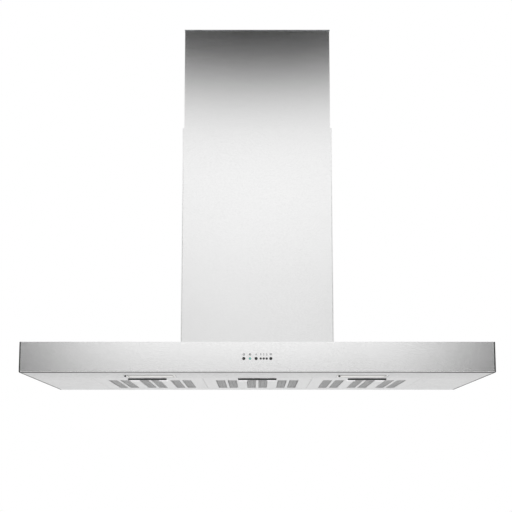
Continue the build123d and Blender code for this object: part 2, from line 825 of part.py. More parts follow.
def capacitor():
    """Run capacitor standing on the motor box, with two blade terminals."""
    can = rod((capacitor_place, 0, motor_box_top), (0, 0, 1), capacitor_radius, capacitor_height)
    can = fillet(can.edges().sort_by(Axis.Z)[-1], capacitor_radius / 8)
    width, thickness, height = capacitor_tab
    top = motor_box_top + capacitor_height
    for y in about(0, capacitor_radius):
        can += block(about(capacitor_place, width), about(y, thickness), (top, top + height))
    return can


def electronics_box():
    """Cover over the mains terminals, open towards the motor box's top."""
    top = motor_box_top + electronics_height
    x = about(electronics_place, electronics_width)
    y = about(0, electronics_depth)
    shape = fillet(upright_edges(block(x, y, (motor_box_top, top))), 2 * electronics_wall)
    hollow_x = about(electronics_place, electronics_width - 2 * electronics_wall)
    hollow_y = about(0, electronics_depth - 2 * electronics_wall)
    shape -= block(hollow_x, hollow_y, (motor_box_top - past, top - electronics_wall))
    start = (electronics_place, 0, top - electronics_wall - past)
    return shape - rod(start, (0, 0, 1), gland_radius + fit_gap, electronics_wall + 2 * past)


def terminal_block():
    """Row of screw terminals for the mains lead."""
    width, depth, height = terminal_size
    middle = electronics_depth / 4
    shape = block(about(electronics_place, width), about(middle, depth), (motor_box_top, motor_box_top + height))
    pitch = width / terminal_ways
    for index in range(terminal_ways):
        x = electronics_place + pitch * (index - (terminal_ways - 1) / 2)
        start = (x, middle, motor_box_top + height / 2)
        shape -= rod(start, (0, 0, 1), terminal_screw_radius, height)
    return shape


def cable_gland():
    """Cable gland through the electronics box's top, with a hexagonal nut above it."""
    top = motor_box_top + electronics_height
    start = (electronics_place, 0, top - gland_inside)
    shape = rod(start, (0, 0, 1), gland_radius, gland_length)
    hexagon = extrude(RegularPolygon(gland_nut_radius, 6), gland_nut_height)
    shape += Pos(electronics_place, 0, top) * hexagon
    start = (electronics_place, 0, top - gland_inside - past)
    return shape - rod(start, (0, 0, 1), gland_bore_radius, gland_length + 2 * past)


# ================================================================ filters
panel_front = filter_front + filter_front_gap
panel_rear = filter_rear - filter_rear_gap
panel_floor = canopy_bottom + filter_sheet
panel_top = canopy_bottom + filter_height
mesh_bottom = panel_floor + seat_gap
slider_bottom = panel_floor + seat_gap
slider_front = filter_front - canopy_sheet + strike_gap
slider_rear = slider_front + latch_slider_length
spring_stop_y = slider_rear + spring_length + seat_gap


def filter_panel(place):
    """Steel tray with three pairs of windows, hooked tabs behind and slots for the latch in front."""
    x = about(place, filter_width)
    shape = block(x, (panel_front, panel_rear), (canopy_bottom, panel_top))
    rounded = shape.edges().group_by(Axis.Z)[0] + upright_edges(shape)
    shape = fillet(rounded, filter_bend)
    inside_x = about(place, filter_width - 2 * filter_sheet)
    inside_y = (panel_front + filter_sheet, panel_rear - filter_sheet)
    hollow = block(inside_x, inside_y, (panel_floor, panel_top - filter_sheet))
    rounded = hollow.edges().group_by(Axis.Z)[0] + upright_edges(hollow)
    shape -= fillet(rounded, filter_bend - filter_sheet)
    mouth_x = about(place, filter_width - 2 * filter_lip)
    mouth_y = (panel_front + filter_lip, panel_rear - filter_lip)
    shape -= block(mouth_x, mouth_y, (panel_floor, panel_top + past))
    floor = (canopy_bottom - past, panel_floor + past)
    window_y = (filter_front + window_setback, filter_front + window_setback + window_length)
    for index in range(window_pairs):
        pair = place + window_pair_pitch * (index - (window_pairs - 1) / 2)
        for window_x in about(pair, window_pair_spacing):
            window = block(about(window_x, window_width), window_y, floor)
            shape -= fillet(upright_edges(window), window_corner)
    neck_y = (neck_front - latch_play, neck_front + latch_neck_depth + latch_travel + latch_play)
    shape -= block(about(place, latch_neck_width + 2 * latch_play), neck_y, floor)
    slot_z = (panel_floor, slider_bottom + latch_slider_sheet + seat_gap)
    slot_y = (panel_front - past, panel_front + filter_sheet + past / 2)
    shape -= block(about(place, latch_slider_width + 2 * latch_play), slot_y, slot_z)
    stop_y = (spring_stop_y, spring_stop_y + spring_stop_sheet)
    shape += block(about(place, latch_boss_width), stop_y, (panel_floor, slider_bottom + latch_boss_height))
    for tab_x in about(place, tab_spacing):
        tab_z = about(bead_z, tab_sheet)
        shape += block(about(tab_x, tab_width), (panel_rear - filter_sheet, bead_y), tab_z)
        shape += rod((tab_x - bead_width / 2, bead_y, bead_z), (1, 0, 0), bead_radius, bead_width)
    return shape


def filter_mesh(place):
    """Pack of aluminium mesh on the tray's floor, hollowed round the latch."""
    margin = filter_sheet + mesh_side_gap
    x = about(place, filter_width - 2 * margin)
    y = (panel_front + margin, panel_rear - margin)
    shape = block(x, y, (mesh_bottom, mesh_bottom + mesh_thickness))
    pocket_x = about(place, latch_slider_width + 8 * latch_play)
    pocket_y = (panel_front, filter_front + latch_pocket_length)
    pocket_z = (panel_floor, canopy_bottom + latch_pocket_height)
    return shape - block(pocket_x, pocket_y, pocket_z)


neck_front = filter_front + latch_bar_place + (latch_bar_depth - latch_neck_depth) / 2


def filter_latch(place):
    """Pull bar below the panel, joined by a neck to the tongue above it."""
    bar_y = (filter_front + latch_bar_place, filter_front + latch_bar_place + latch_bar_depth)
    bar_top = canopy_bottom - seat_gap
    bar = block(about(place, latch_bar_width), bar_y, (bar_top - latch_bar_height, bar_top))
    bar = fillet(bar.edges().filter_by(Axis.X), latch_bar_round)
    neck_y = (neck_front, neck_front + latch_neck_depth)
    neck_z = (bar_top - latch_bar_height / 2, slider_bottom + latch_slider_sheet)
    neck = block(about(place, latch_neck_width), neck_y, neck_z)
    slider_z = (slider_bottom, slider_bottom + latch_slider_sheet)
    slider = block(about(place, latch_slider_width), (slider_front, slider_rear), slider_z)
    boss_y = (slider_rear - latch_boss_depth, slider_rear)
    boss_z = (slider_bottom, slider_bottom + latch_boss_height)
    return bar + neck + slider + block(about(place, latch_boss_width), boss_y, boss_z)


def latch_spring(place):
    """Compression spring between the latch's boss and the panel's stop."""
    coil_length = spring_length - 2 * spring_wire - seat_gap
    path = Helix(pitch=coil_length / spring_turns, height=coil_length, radius=spring_radius)
    section = Plane(origin=path @ 0, z_dir=path % 0) * Circle(spring_wire)
    coil = sweep(section, path=path)
    centre_z = slider_bottom + latch_boss_height / 2
    start = (place, slider_rear + spring_wire + seat_gap, centre_z)
    return Plane(origin=start, z_dir=(0, 1, 0)) * coil


# ================================================================ lamps
lamp_top = canopy_bottom + lamp_height
lamp_ceiling = lamp_top - lamp_wall
lamp_cover_margin = lamp_fit + lamp_wall + cover_play
lamp_cover_half_width = lamp_width / 2 - lamp_cover_margin
lamp_cover_half_depth = lamp_depth / 2 - lamp_cover_margin
catch_y = lamp_middle - lamp_cover_half_depth + catch_setback
lamp_pin_z = canopy_bottom + lamp_knuckle_radius
lamp_pin_offset = lamp_cover_half_width - lamp_knuckle_radius


def lamp_housing(place):
    """Lamp box through the underside, whose walls show as a thin rim round the cover."""
    shape = lamp_opening(place, lamp_fit, (canopy_bottom, lamp_top))
    flange_z = (canopy_floor, canopy_floor + lamp_wall)
    shape += block(about(place, lamp_width + 2 * lamp_flange), about(lamp_middle, lamp_depth + 2 * lamp_flange), flange_z)
    shape -= lamp_opening(place, lamp_fit + lamp_wall, (canopy_bottom - past, lamp_ceiling))
    length = lamp_depth + 2 * lamp_flange
    pin_start = (place + lamp_pin_offset, lamp_middle - lamp_depth / 2 - past, lamp_pin_z)
    pin_length = lamp_depth + 2 * past
    shape -= rod(pin_start, (0, 1, 0), lamp_pin_radius + running_gap, pin_length)
    boss_low = canopy_bottom + catch_length + seat_gap
    boss = block(about(catch_x(place), catch_boss_size), about(catch_y, catch_boss_size), (boss_low, lamp_ceiling))
    wall = (place - lamp_width / 2 + lamp_fit, catch_x(place))
    return shape + boss + block(wall, about(catch_y, catch_boss_size), (boss_low, lamp_ceiling))


def catch_x(place):
    """Middle of the catch, near the cover's left edge."""
    return place - lamp_cover_half_width + catch_inset


def lamp_cover(place):
    """Frosted cover with a round knuckle and two pins along its right edge."""
    x = (place - lamp_cover_half_width, place + lamp_pin_offset)
    y = about(lamp_middle, 2 * lamp_cover_half_depth)
    shape = block(x, y, (canopy_bottom, canopy_bottom + lamp_cover_sheet))
    knuckle_start = (place + lamp_pin_offset, y[0], lamp_pin_z)
    shape += rod(knuckle_start, (0, 1, 0), lamp_knuckle_radius, 2 * lamp_cover_half_depth)
    pin_start = (place + lamp_pin_offset, y[0] - lamp_pin_reach, lamp_pin_z)
    pin_length = 2 * (lamp_cover_half_depth + lamp_pin_reach)
    shape += rod(pin_start, (0, 1, 0), lamp_pin_radius, pin_length)
    hole_start = (catch_x(place), catch_y, canopy_bottom - past)
    return shape - rod(hole_start, (0, 0, 1), catch_shank_radius + fit_gap, lamp_cover_sheet + 2 * past)


def lamp_catch(place):
    """Captive screw with a round knob under the cover's front left corner."""
    seat = (catch_x(place), catch_y, canopy_bottom)
    return screw(seat, (0, 0, -1), catch_shank_radius, catch_length, catch_head_radius, catch_head_height)


def lamp_board(place):
    """Circuit board under the lamp box's top, with two rows of light-emitting chips."""
    margin = lamp_fit + lamp_wall + lamp_board_margin
    left = place - lamp_width / 2 + margin + catch_boss_size
    right = place + lamp_width / 2 - margin
    middle = (left + right) / 2
    y = about(lamp_middle, lamp_depth - 2 * margin)
    shape = block((left, right), y, (lamp_ceiling - board_sheet, lamp_ceiling))
    low = lamp_ceiling - board_sheet - led_height
    for column in range(led_columns):
        x = middle + led_spacing * (column - (led_columns - 1) / 2)
        for row in range(led_rows):
            led_y = lamp_middle + led_spacing * (row - (led_rows - 1) / 2)
            chip_z = (low, lamp_ceiling - board_sheet)
            shape += block(about(x, led_size), about(led_y, led_size), chip_z)
    return shape


# ================================================================ controls
collar_front = front_wall_inside + control_wall + seat_gap
plunger_front = board_front - switch_depth - plunger_length
stem_rear = plunger_front - plunger_gap - button_travel


def button(x):
    """Round push button: a cap through the front, a collar behind it and a stem."""
    cap_start = (x, canopy_front - button_proud, control_z)
    cap = rod(cap_start, (0, 1, 0), button_radius, collar_front - cap_start[1])
    cap = fillet(cap.edges().sort_by(Axis.Y)[0], button_proud / 2)
    cap += rod((x, collar_front, control_z), (0, 1, 0), button_collar_radius, button_collar_sheet)
    return cap + rod((x, collar_front, control_z), (0, 1, 0), button_stem_radius, stem_rear - collar_front)


def control_housing():
    """Box behind the front wall, open at the back, that guides the buttons and holds the board."""
    x = about(0, control_width)
    z = about(control_z, control_box_height)
    rear = front_wall_inside + control_box_depth
    shape = fillet(block(x, (front_wall_inside, rear), z).edges().filter_by(Axis.Y), control_wall)
    hollow_x = about(0, control_width - 2 * control_wall)
    hollow_z = about(control_z, control_box_height - 2 * control_wall)
    shape -= block(hollow_x, (front_wall_inside + control_wall, rear + past), hollow_z)
    for hole in front_holes(canopy_sheet + control_wall, button_gap):
        shape -= hole
    return shape


def control_board():
    """Circuit board across the housing, behind the buttons."""
    margin = 2 * (control_wall + board_clearance)
    x = about(0, control_width - margin)
    z = about(control_z, control_box_height - margin)
    return block(x, (board_front, board_front + board_sheet), z)


def tact_switches():
    """One switch behind each button, with a short plunger."""
    switches = []
    for x in button_places:
        y = (board_front - switch_depth, board_front)
        body = block(about(x, switch_size), y, about(control_z, switch_size))
        start = (x, y[0], control_z)
        switches.append(body + rod(start, (0, -1, 0), plunger_radius, plunger_length))
    return Compound(switches)


def light_pipe(x, radius, proud):
    """Clear rod from the board to the front face."""
    start = (x, board_front, control_z)
    return rod(start, (0, -1, 0), radius, board_front - canopy_front + proud)


# ================================================================ write every piece
def write(name, shape):
    export_step(shape, os.path.join("parts", name + ".step"))


def left_of(shape):
    """The mirror image on the left side."""
    return mirror(shape, about=Plane.YZ)


upper_z = (upper_chimney_bottom, plate_bottom)
lower_z = (lower_chimney_bottom, lower_chimney_top)
upper_grip = chimney_sheet + plate_tab_sheet + past
seam_grip = chimney_sheet * 2 + past

write("ceiling_plate", ceiling_plate())
upper_holes = list(side_holes(upper_chimney_outside, chimney_screw_points, upper_grip))
lower_holes = list(side_holes(lower_chimney_outside, seam_screw_points, seam_grip))
write("upper_chimney_front", chimney_front(upper_chimney_outside, upper_z, upper_holes))
write("upper_chimney_rear", chimney_rear(upper_chimney_outside, upper_z, upper_holes))
write("lower_chimney_front", chimney_front(lower_chimney_outside, lower_z, lower_holes))
write("lower_chimney_rear", chimney_rear(lower_chimney_outside, lower_z, lower_holes))
upper_screws = side_screws(upper_chimney_outside, chimney_screw_points, chimney_screw_grip)
write("upper_frame_screws", Compound([*upper_screws.solids(), *ceiling_tab_bolts()]))
write("lower_chimney_screws", side_screws(lower_chimney_outside, seam_screw_points, seam_screw_grip))

upper_channel = upper_tower_right()
lower_channel = lower_tower_right()
write("upper_tower_right", upper_channel)
write("upper_tower_left", left_of(upper_channel))
write("lower_tower_right", lower_channel)
write("lower_tower_left", left_of(lower_channel))
write("tower_ring", tower_ring())
write("tower_bolts", Compound([*clamp_bolts(), *foot_bolts()]))

write("canopy_shell", canopy_shell())
write("top_cover", top_cover())
write("base_ring", base_ring())
write("front_rail", front_rail())
write("rear_rail", rear_rail())

scroll_right = scroll_housing_right()
write("motor_box", motor_box())
write("scroll_housing_right", scroll_right)
write("scroll_housing_left", left_of(scroll_right))
write("impeller", impeller())
write("motor_shaft", motor_shaft())
write("motor", motor())
write("motor_bracket", motor_bracket())
write("outlet_collar", outlet_collar())
flap_right = damper_flap_right()
write("damper_flap_right", flap_right)
write("damper_flap_left", left_of(flap_right))
write("capacitor", capacitor())
write("electronics_box", electronics_box())
write("terminal_block", terminal_block())
write("cable_gland", cable_gland())

for side, place in zip(("left", "centre", "right"), filter_places):
    write("filter_panel_" + side, filter_panel(place))
    write("filter_mesh_" + side, filter_mesh(place))
    write("filter_latch_" + side, filter_latch(place))
    write("latch_spring_" + side, latch_spring(place))

for side, place in zip(("left", "right"), lamp_places):
    write("lamp_housing_" + side, lamp_housing(place))
    write("lamp_board_" + side, lamp_board(place))
    write("lamp_cover_" + side, lamp_cover(place))
    write("lamp_catch_" + side, lamp_catch(place))

for name, place in zip(("power_button", "fan_button", "light_button"), button_places):
    write(name, button(place))
write("control_housing", control_housing())
write("control_board", control_board())
write("tact_switches", tact_switches())
write("speed_lights", Compound([light_pipe(x, speed_light_radius, 0) for x in light_places()]))
write("filter_light", light_pipe(filter_light_place, filter_light_radius, filter_light_proud))
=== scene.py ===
"""Visual model of an island range hood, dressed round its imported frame.

Lengths are metres, x runs along the canopy, -y faces the buttons and z points up.
The ceiling is at zero height. Every piece is an array of points worked out with numpy.
"""

import functools
import json
import logging
import math
from dataclasses import dataclass, field
from enum import Enum
from typing import Iterable, Mapping, Optional, Sequence, Union

import bpy
import numpy as np
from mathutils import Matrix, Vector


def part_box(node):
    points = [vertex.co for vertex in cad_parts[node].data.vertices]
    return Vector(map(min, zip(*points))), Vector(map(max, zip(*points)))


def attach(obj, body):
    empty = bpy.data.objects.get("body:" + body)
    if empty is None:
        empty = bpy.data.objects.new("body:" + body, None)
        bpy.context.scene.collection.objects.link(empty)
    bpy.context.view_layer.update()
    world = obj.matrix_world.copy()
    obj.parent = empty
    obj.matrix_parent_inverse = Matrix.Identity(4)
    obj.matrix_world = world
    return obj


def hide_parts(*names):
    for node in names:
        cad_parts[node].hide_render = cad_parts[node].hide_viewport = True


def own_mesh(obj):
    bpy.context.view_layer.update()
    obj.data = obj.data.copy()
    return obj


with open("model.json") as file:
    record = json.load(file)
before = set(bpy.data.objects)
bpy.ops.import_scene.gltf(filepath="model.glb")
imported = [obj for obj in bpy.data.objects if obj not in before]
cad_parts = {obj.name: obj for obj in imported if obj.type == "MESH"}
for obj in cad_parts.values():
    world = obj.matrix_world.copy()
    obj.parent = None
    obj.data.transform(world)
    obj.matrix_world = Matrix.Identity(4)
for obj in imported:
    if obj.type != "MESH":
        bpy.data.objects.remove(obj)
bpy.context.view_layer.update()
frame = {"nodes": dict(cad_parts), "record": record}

log = logging.getLogger("range_hood")

Node = bpy.types.Node
Tree = bpy.types.NodeTree
Socket = bpy.types.NodeSocket
Material = bpy.types.Material
Object = bpy.types.Object
Colour = tuple[float, float, float]
Value = Union[float, Sequence[float], Socket]
Inputs = Mapping[Union[str, int], Value]
Outputs = Mapping[str, Socket]

MM = 0.001
UNDERSIDE = -0.973

# What a shared group's inputs and outputs carry, where it isn't a plain number.
SOCKET_KINDS = {"Colour": "Color", "Stretch": "Vector", "Normal": "Vector"}


class Side(Enum):
    """Where a filter or a lamp sits along the canopy."""

    LEFT = "left"
    CENTRE = "centre"
    RIGHT = "right"


class Mark(Enum):
    """The signs printed above the buttons and lights."""

    POWER = "power"
    FILTER = "filter"
    FAN = "fan"
    ONE = "one"
    TWO = "two"
    THREE = "three"
    LIGHT = "light"


class Direction(Enum):
    """Which way a sheet was brushed, as the pattern's scale along x, y and z."""

    LEVEL = (16.0, 16.0, 1400.0)
    LENGTHWISE = (16.0, 1400.0, 1400.0)
    ROUND = (700.0, 700.0, 700.0)


class Shading(Enum):
    """How a card glows from its middle or inner edge outwards: places and levels."""

    ROUND = (
        (0.0, 0.03),
        (0.10, 0.045),
        (0.19, 0.11),
        (0.32, 0.34),
        (0.46, 0.67),
        (0.62, 0.89),
        (0.82, 1.0),
    )
    SIDE = ((0.0, 0.9), (0.025, 0.10), (0.07, 0.02), (0.20, 0.05), (0.36, 0.60), (0.60, 1.0))


def grey(level: float) -> Colour:
    """A grey of that level."""
    return (level, level, level)


def opaque(colour: Colour) -> tuple[float, float, float, float]:
    """The colour with its opacity."""
    return (*colour, 1.0)


# ---------------------------------------------------------------- node trees


class Graph:
    """Short hand for building one node tree."""

    def __init__(self, tree: Tree) -> None:
        """Keeps the tree that the nodes go into."""
        self.tree = tree

    def feed(self, node: Node, inputs: Inputs) -> None:
        """Links inputs of a node, or sets their own values.

        Args:
            node: the node.
            inputs: values or sockets by input name or number.
        """
        for key, value in inputs.items():
            if isinstance(value, Socket):
                self.tree.links.new(value, node.inputs[key])
            else:
                node.inputs[key].default_value = value

    def add(self, kind: str, inputs: Optional[Inputs] = None, **settings: object) -> Node:
        """Adds a node.

        Args:
            kind: the node's type name.
            inputs: values or sockets by input name or number.
            settings: the node's own properties.

        Returns:
            The new node.
        """
        node = self.tree.nodes.new(kind)
        for name, setting in settings.items():
            setattr(node, name, setting)
        self.feed(node, inputs or {})
        return node

    def math(self, operation: str, *values: Value) -> Socket:
        """Adds one sum and returns its result."""
        return self.add("ShaderNodeMath", dict(enumerate(values)), operation=operation).outputs[0]

    def swung(self, start: Value, swing: Value, share: Value) -> Socket:
        """The start value, plus a share of the swing."""
        return self.math("MULTIPLY_ADD", swing, share, start)

    def between(self, value: Value, low: float, high: float) -> Socket:
        """Rises softly from 0 at low to 1 at high."""
        limits = {"Value": value, "From Min": low, "From Max": high}
        return self.add("ShaderNodeMapRange", limits, interpolation_type="SMOOTHSTEP").outputs[0]

    def blend(self, amount: Value, first: Value, second: Value) -> Socket:
        """Goes from one colour to another.

        Args:
            amount: 0 at the first colour, 1 at the second.
            first: the colour to start from.
            second: the colour to reach.

        Returns:
            The colour between them.
        """
        node = self.add("ShaderNodeMix", data_type="RGBA")
        numbers = {socket.identifier: number for number, socket in enumerate(node.inputs)}
        wanted = {"Factor_Float": amount, "A_Color": first, "B_Color": second}
        self.feed(node, {numbers[name]: value for name, value in wanted.items()})
        return next(socket for socket in node.outputs if socket.identifier == "Result_Color")

    def tinted(self, colour: Value, factor: Value) -> Socket:
        """A colour made lighter or darker by a factor near 1."""
        inputs = {0: colour, "Scale": factor}
        return self.add("ShaderNodeVectorMath", inputs, operation="SCALE").outputs[0]

    def here(self) -> Socket:
        """The point on the piece, in the piece's own frame."""
        return self.add("ShaderNodeTexCoord").outputs["Object"]

    def stretched(self, scale: Value) -> Socket:
        """The point on the piece, with each direction scaled."""
        return self.add("ShaderNodeMapping", {"Vector": self.here(), "Scale": scale}).outputs[0]

    def facing(self) -> Socket:
        """The surface's own normal."""
        return self.add("ShaderNodeNewGeometry").outputs["Normal"]

    def split(self, vector: Value) -> Outputs:
        """The X, Y and Z of a vector."""
        return self.add("ShaderNodeSeparateXYZ", {0: vector}).outputs

    def noise(self, place: Value, scale: float, detail: float) -> Socket:
        """Cloudy noise between 0 and 1 at that place."""
        inputs = {"Vector": place, "Scale": scale, "Detail": detail}
        return self.add("ShaderNodeTexNoise", inputs).outputs["Fac"]

    def cloud(self, scale: float, detail: float, place: Optional[Value] = None) -> Socket:
        """Noise that swings evenly round zero, at the point itself or at another place."""
        return self.math("SUBTRACT", self.noise(place or self.here(), scale, detail), 0.5)

    def use(self, group: Tree, inputs: Inputs) -> Outputs:
        """What a shared group puts out for these values."""
        return self.add("ShaderNodeGroup", inputs, node_tree=group).outputs

    def bump(self, height: Value, depth: float, normal: Optional[Socket] = None) -> Socket:
        """A normal from a height of that depth, on the surface's own or a given normal."""
        own = {"Height": height, "Distance": depth, "Strength": 1.0}
        return self.add("ShaderNodeBump", own | ({"Normal": normal} if normal else {})).outputs[0]

    def glow(self, colour: Value) -> None:
        """Ends the nodes of a material in an even glow of that colour."""
        light = self.add("ShaderNodeEmission", {"Color": colour, "Strength": 1.0})
        self.add("ShaderNodeOutputMaterial", {"Surface": light.outputs[0]})


def opened_group(
    name: str, inputs: Sequence[str], outputs: Sequence[str]
) -> tuple[Graph, Outputs, Node]:
    """Starts a shared group.

    Args:
        name: the group's name.
        inputs: names of what it takes.
        outputs: names of what it puts out.

    Returns:
        The group's graph, what it is given, and its output node.
    """
    tree = bpy.data.node_groups.new(name, "ShaderNodeTree")
    for side, labels in (("INPUT", inputs), ("OUTPUT", outputs)):
        for label in labels:
            kind = "NodeSocket" + SOCKET_KINDS.get(label, "Float")
            tree.interface.new_socket(name=label, in_out=side, socket_type=kind)
    graph = Graph(tree)
    return graph, graph.add("NodeGroupInput").outputs, graph.add("NodeGroupOutput")


@functools.cache
def brushing() -> Tree:
    """Brushed grain: long streaks, short scratches, dull flecks and smudges.

    Returns:
        The group.
    """
    graph, given, result = opened_group(
        "brushed_grain",
        ("Colour", "Roughness", "Stretch", "Streak", "Speck"),
        ("Colour", "Roughness", "Metal", "Height"),
    )
    kept, added = (0.45, 0.45, 0.45), (170.0, 170.0, 170.0)
    streak_gloss, smudge_gloss, fleck_metal, streak_height = 0.10, 0.05, -0.12, 0.5
    shorter = graph.add(
        "ShaderNodeVectorMath", {0: given["Stretch"], 1: kept, 2: added}, operation="MULTIPLY_ADD"
    )
    streak = graph.cloud(scale=1.0, detail=3.0, place=graph.stretched(given["Stretch"]))
    scratch = graph.noise(graph.stretched(shorter.outputs[0]), scale=1.0, detail=1.0)
    speck = graph.math("SUBTRACT", scratch, 0.5)
    smudge = graph.cloud(scale=3.2, detail=3.0)
    factor = graph.swung(graph.swung(1.0, streak, given["Streak"]), speck, given["Speck"])
    rough = graph.swung(given["Roughness"], streak, streak_gloss)
    fleck = graph.between(scratch, low=0.35, high=0.95)
    found = {
        "Colour": graph.tinted(given["Colour"], factor),
        "Roughness": graph.swung(rough, smudge, smudge_gloss),
        "Metal": graph.swung(1.0, fleck, fleck_metal),
        "Height": graph.swung(speck, streak, streak_height),
    }
    graph.feed(result, found)
    return graph.tree


@functools.cache
def bend_shade_masks() -> Tree:
    """Masks of an upright box's bends and underside for painted shade and roughness, and the normal
    with its top bend flattened.

    Returns:
        The group.
    """
    graph, given, result = opened_group(
        "bend_shade_masks",
        ("Half X", "Half Y", "Bottom", "Top", "Radius"),
        ("Upright", "Level", "Under", "Front", "Normal"),
    )
    place, facing = graph.split(graph.here()), graph.split(graph.facing())
    end_shade_gain, flattening = 0.32, -0.85

    def along(value: Value, end: Value) -> Socket:
        """How far round a bend a value is: 0 where the bend starts and 1 where it ends."""
        past = graph.math("SUBTRACT", value, end)
        return graph.math("ADD", graph.math("DIVIDE", past, given["Radius"]), 1.0)

    # The masks' limits are shares of the way round a bend, or of the way from the middle out.
    near = [along(graph.math("ABSOLUTE", place[axis]), given[f"Half {axis}"]) for axis in "XY"]
    # Painted shade: a dark band along the bottom bend and round the underside's border, stronger
    # towards the ends.
    lower = graph.between(along(given["Bottom"], place["Z"]), low=0.35, high=0.70)
    upper = graph.between(along(place["Z"], given["Top"]), low=0.0, high=0.3)
    shaded_border = graph.between(graph.math("MAXIMUM", *near), low=-2.0, high=-0.2)
    ends = graph.math("DIVIDE", graph.math("ABSOLUTE", place["X"]), given["Half X"])
    shade_deeper_at_ends = graph.swung(1.0, graph.between(ends, low=0.50, high=1.0), end_shade_gain)
    under = graph.between(facing["Z"], low=-0.80, high=-0.98)
    depth = graph.math("DIVIDE", place["Y"], given["Half Y"])
    rise = graph.math("MULTIPLY", facing["Z"], graph.swung(1.0, upper, flattening))
    flattened = graph.add("ShaderNodeCombineXYZ", {"X": facing["X"], "Y": facing["Y"], "Z": rise})
    unit = graph.add("ShaderNodeVectorMath", {0: flattened.outputs[0]}, operation="NORMALIZE")
    # Upright places painted shade on the corner bends, Level on the bottom bend and border, Front
    # on the underside towards its front.
    found = {
        "Upright": graph.between(graph.math("MINIMUM", *near), low=-0.35, high=0.10),
        "Level": graph.math("MULTIPLY", graph.math("MULTIPLY", lower, shaded_border), shade_deeper_at_ends),
        "Under": under,
        "Front": graph.math("MULTIPLY", under, graph.between(depth, low=0.0, high=-1.0)),
        "Normal": unit.outputs[0],
    }
    graph.feed(result, found)
    return graph.tree


@functools.cache
def foot_shade_factor() -> Tree:
    """A painted-shade factor for upright faces that falls softly below 1 towards a lower level.

    Returns:
        The group.
    """
    graph, given, result = opened_group("foot_shade_factor", ("Low", "High", "Left"), ("Factor",))
    rise = graph.math("SUBTRACT", graph.split(graph.here())["Z"], given["Low"])
    span = graph.math("SUBTRACT", given["High"], given["Low"])
    share = graph.between(graph.math("DIVIDE", rise, span), low=0.0, high=1.0)
    slope = graph.math("ABSOLUTE", graph.split(graph.facing())["Z"])
    upright = graph.between(slope, low=0.7, high=0.2)
    lost = graph.math("MULTIPLY", graph.math("SUBTRACT", 1.0, share), upright)
    lost = graph.math("MULTIPLY", lost, graph.math("SUBTRACT", 1.0, given["Left"]))
    graph.feed(result, {"Factor": graph.math("SUBTRACT", 1.0, lost)})
    return graph.tree


@functools.cache
def edge_wear() -> Tree:
    """A mask of the sharp edges, broken up by noise.

    Returns:
        The group.
    """
    graph, given, result = opened_group("edge_wear", ("Width",), ("Mask",))
    rounded = graph.add("ShaderNodeBevel", {"Radius": given["Width"]}, samples=4).outputs[0]
    both = {0: rounded, 1: graph.facing()}
    turn = graph.add("ShaderNodeVectorMath", both, operation="DOT_PRODUCT").outputs["Value"]
    edge = graph.between(graph.math("SUBTRACT", 1.0, turn), low=0.02, high=0.25)
    grain = graph.noise(graph.here(), scale=180.0, detail=3.0)
    broken = graph.between(grain, low=0.35, high=0.65)
    graph.feed(result, {"Mask": graph.math("MULTIPLY", edge, broken)})
    return graph.tree


@functools.cache
def moulding() -> Tree:
    """Fine moulded grain: a pebbled height, with a slight change of colour and roughness.

    Returns:
        The group.
    """
    graph, given, result = opened_group(
        "moulded_grain",
        ("Colour", "Roughness", "Scale", "Mottle"),
        ("Colour", "Roughness", "Height"),
    )
    cells = graph.add("ShaderNodeTexVoronoi", {"Vector": graph.here(), "Scale": given["Scale"]})
    cloud, gloss = graph.cloud(scale=45.0, detail=4.0), 0.18
    found = {
        "Colour": graph.tinted(given["Colour"], graph.swung(1.0, cloud, given["Mottle"])),
        "Roughness": graph.swung(given["Roughness"], cloud, gloss),
        "Height": cells.outputs["Distance"],
    }
    graph.feed(result, found)
    return graph.tree


@functools.cache
def dusting() -> Tree:
    """A mask of dust that lies in patches on whatever faces up.

    Returns:
        The group.
    """
    graph, given, result = opened_group("dust", ("Amount",), ("Mask",))
    up = graph.between(graph.split(graph.facing())["Z"], low=0.6, high=1.0)
    patches = graph.noise(graph.here(), scale=9.0, detail=5.0)
    patches = graph.between(patches, low=0.35, high=0.75)
    mask = graph.math("MULTIPLY", graph.math("MULTIPLY", up, patches), given["Amount"])
    graph.feed(result, {"Mask": mask})
    return graph.tree


# ---------------------------------------------------------------- finishes


@dataclass(frozen=True)
class Finish:
    """What every finish has."""

    label: str
    colour: Colour
    roughness: float

    def inputs(self, graph: Graph) -> dict[str, Value]:
        """What feeds the shader; each finish says how."""
        raise NotImplementedError

    def grain(self, graph: Graph, group: Tree, **settings: Value) -> Outputs:
        """A shared grain in this finish's colour and roughness."""
        own = {"Colour": opaque(self.colour), "Roughness": self.roughness}
        return graph.use(group, own | settings)


def blank_material(name: str) -> tuple[Material, Graph]:
    """Makes an empty material.

    Args:
        name: the material's name.

    Returns:
        The material and its nodes.
    """
    material = bpy.data.materials.new(name)
    material.use_nodes = True
    material.node_tree.nodes.clear()
    return material, Graph(material.node_tree)


@functools.cache
def material_of(finish: Finish) -> Material:
    """Makes the material of a finish, once.

    Args:
        finish: the finish.

    Returns:
        Its material.
    """
    material, graph = blank_material(finish.label)
    shader = graph.add("ShaderNodeBsdfPrincipled", finish.inputs(graph))
    graph.add("ShaderNodeOutputMaterial", {"Surface": shader.outputs["BSDF"]})
    return material


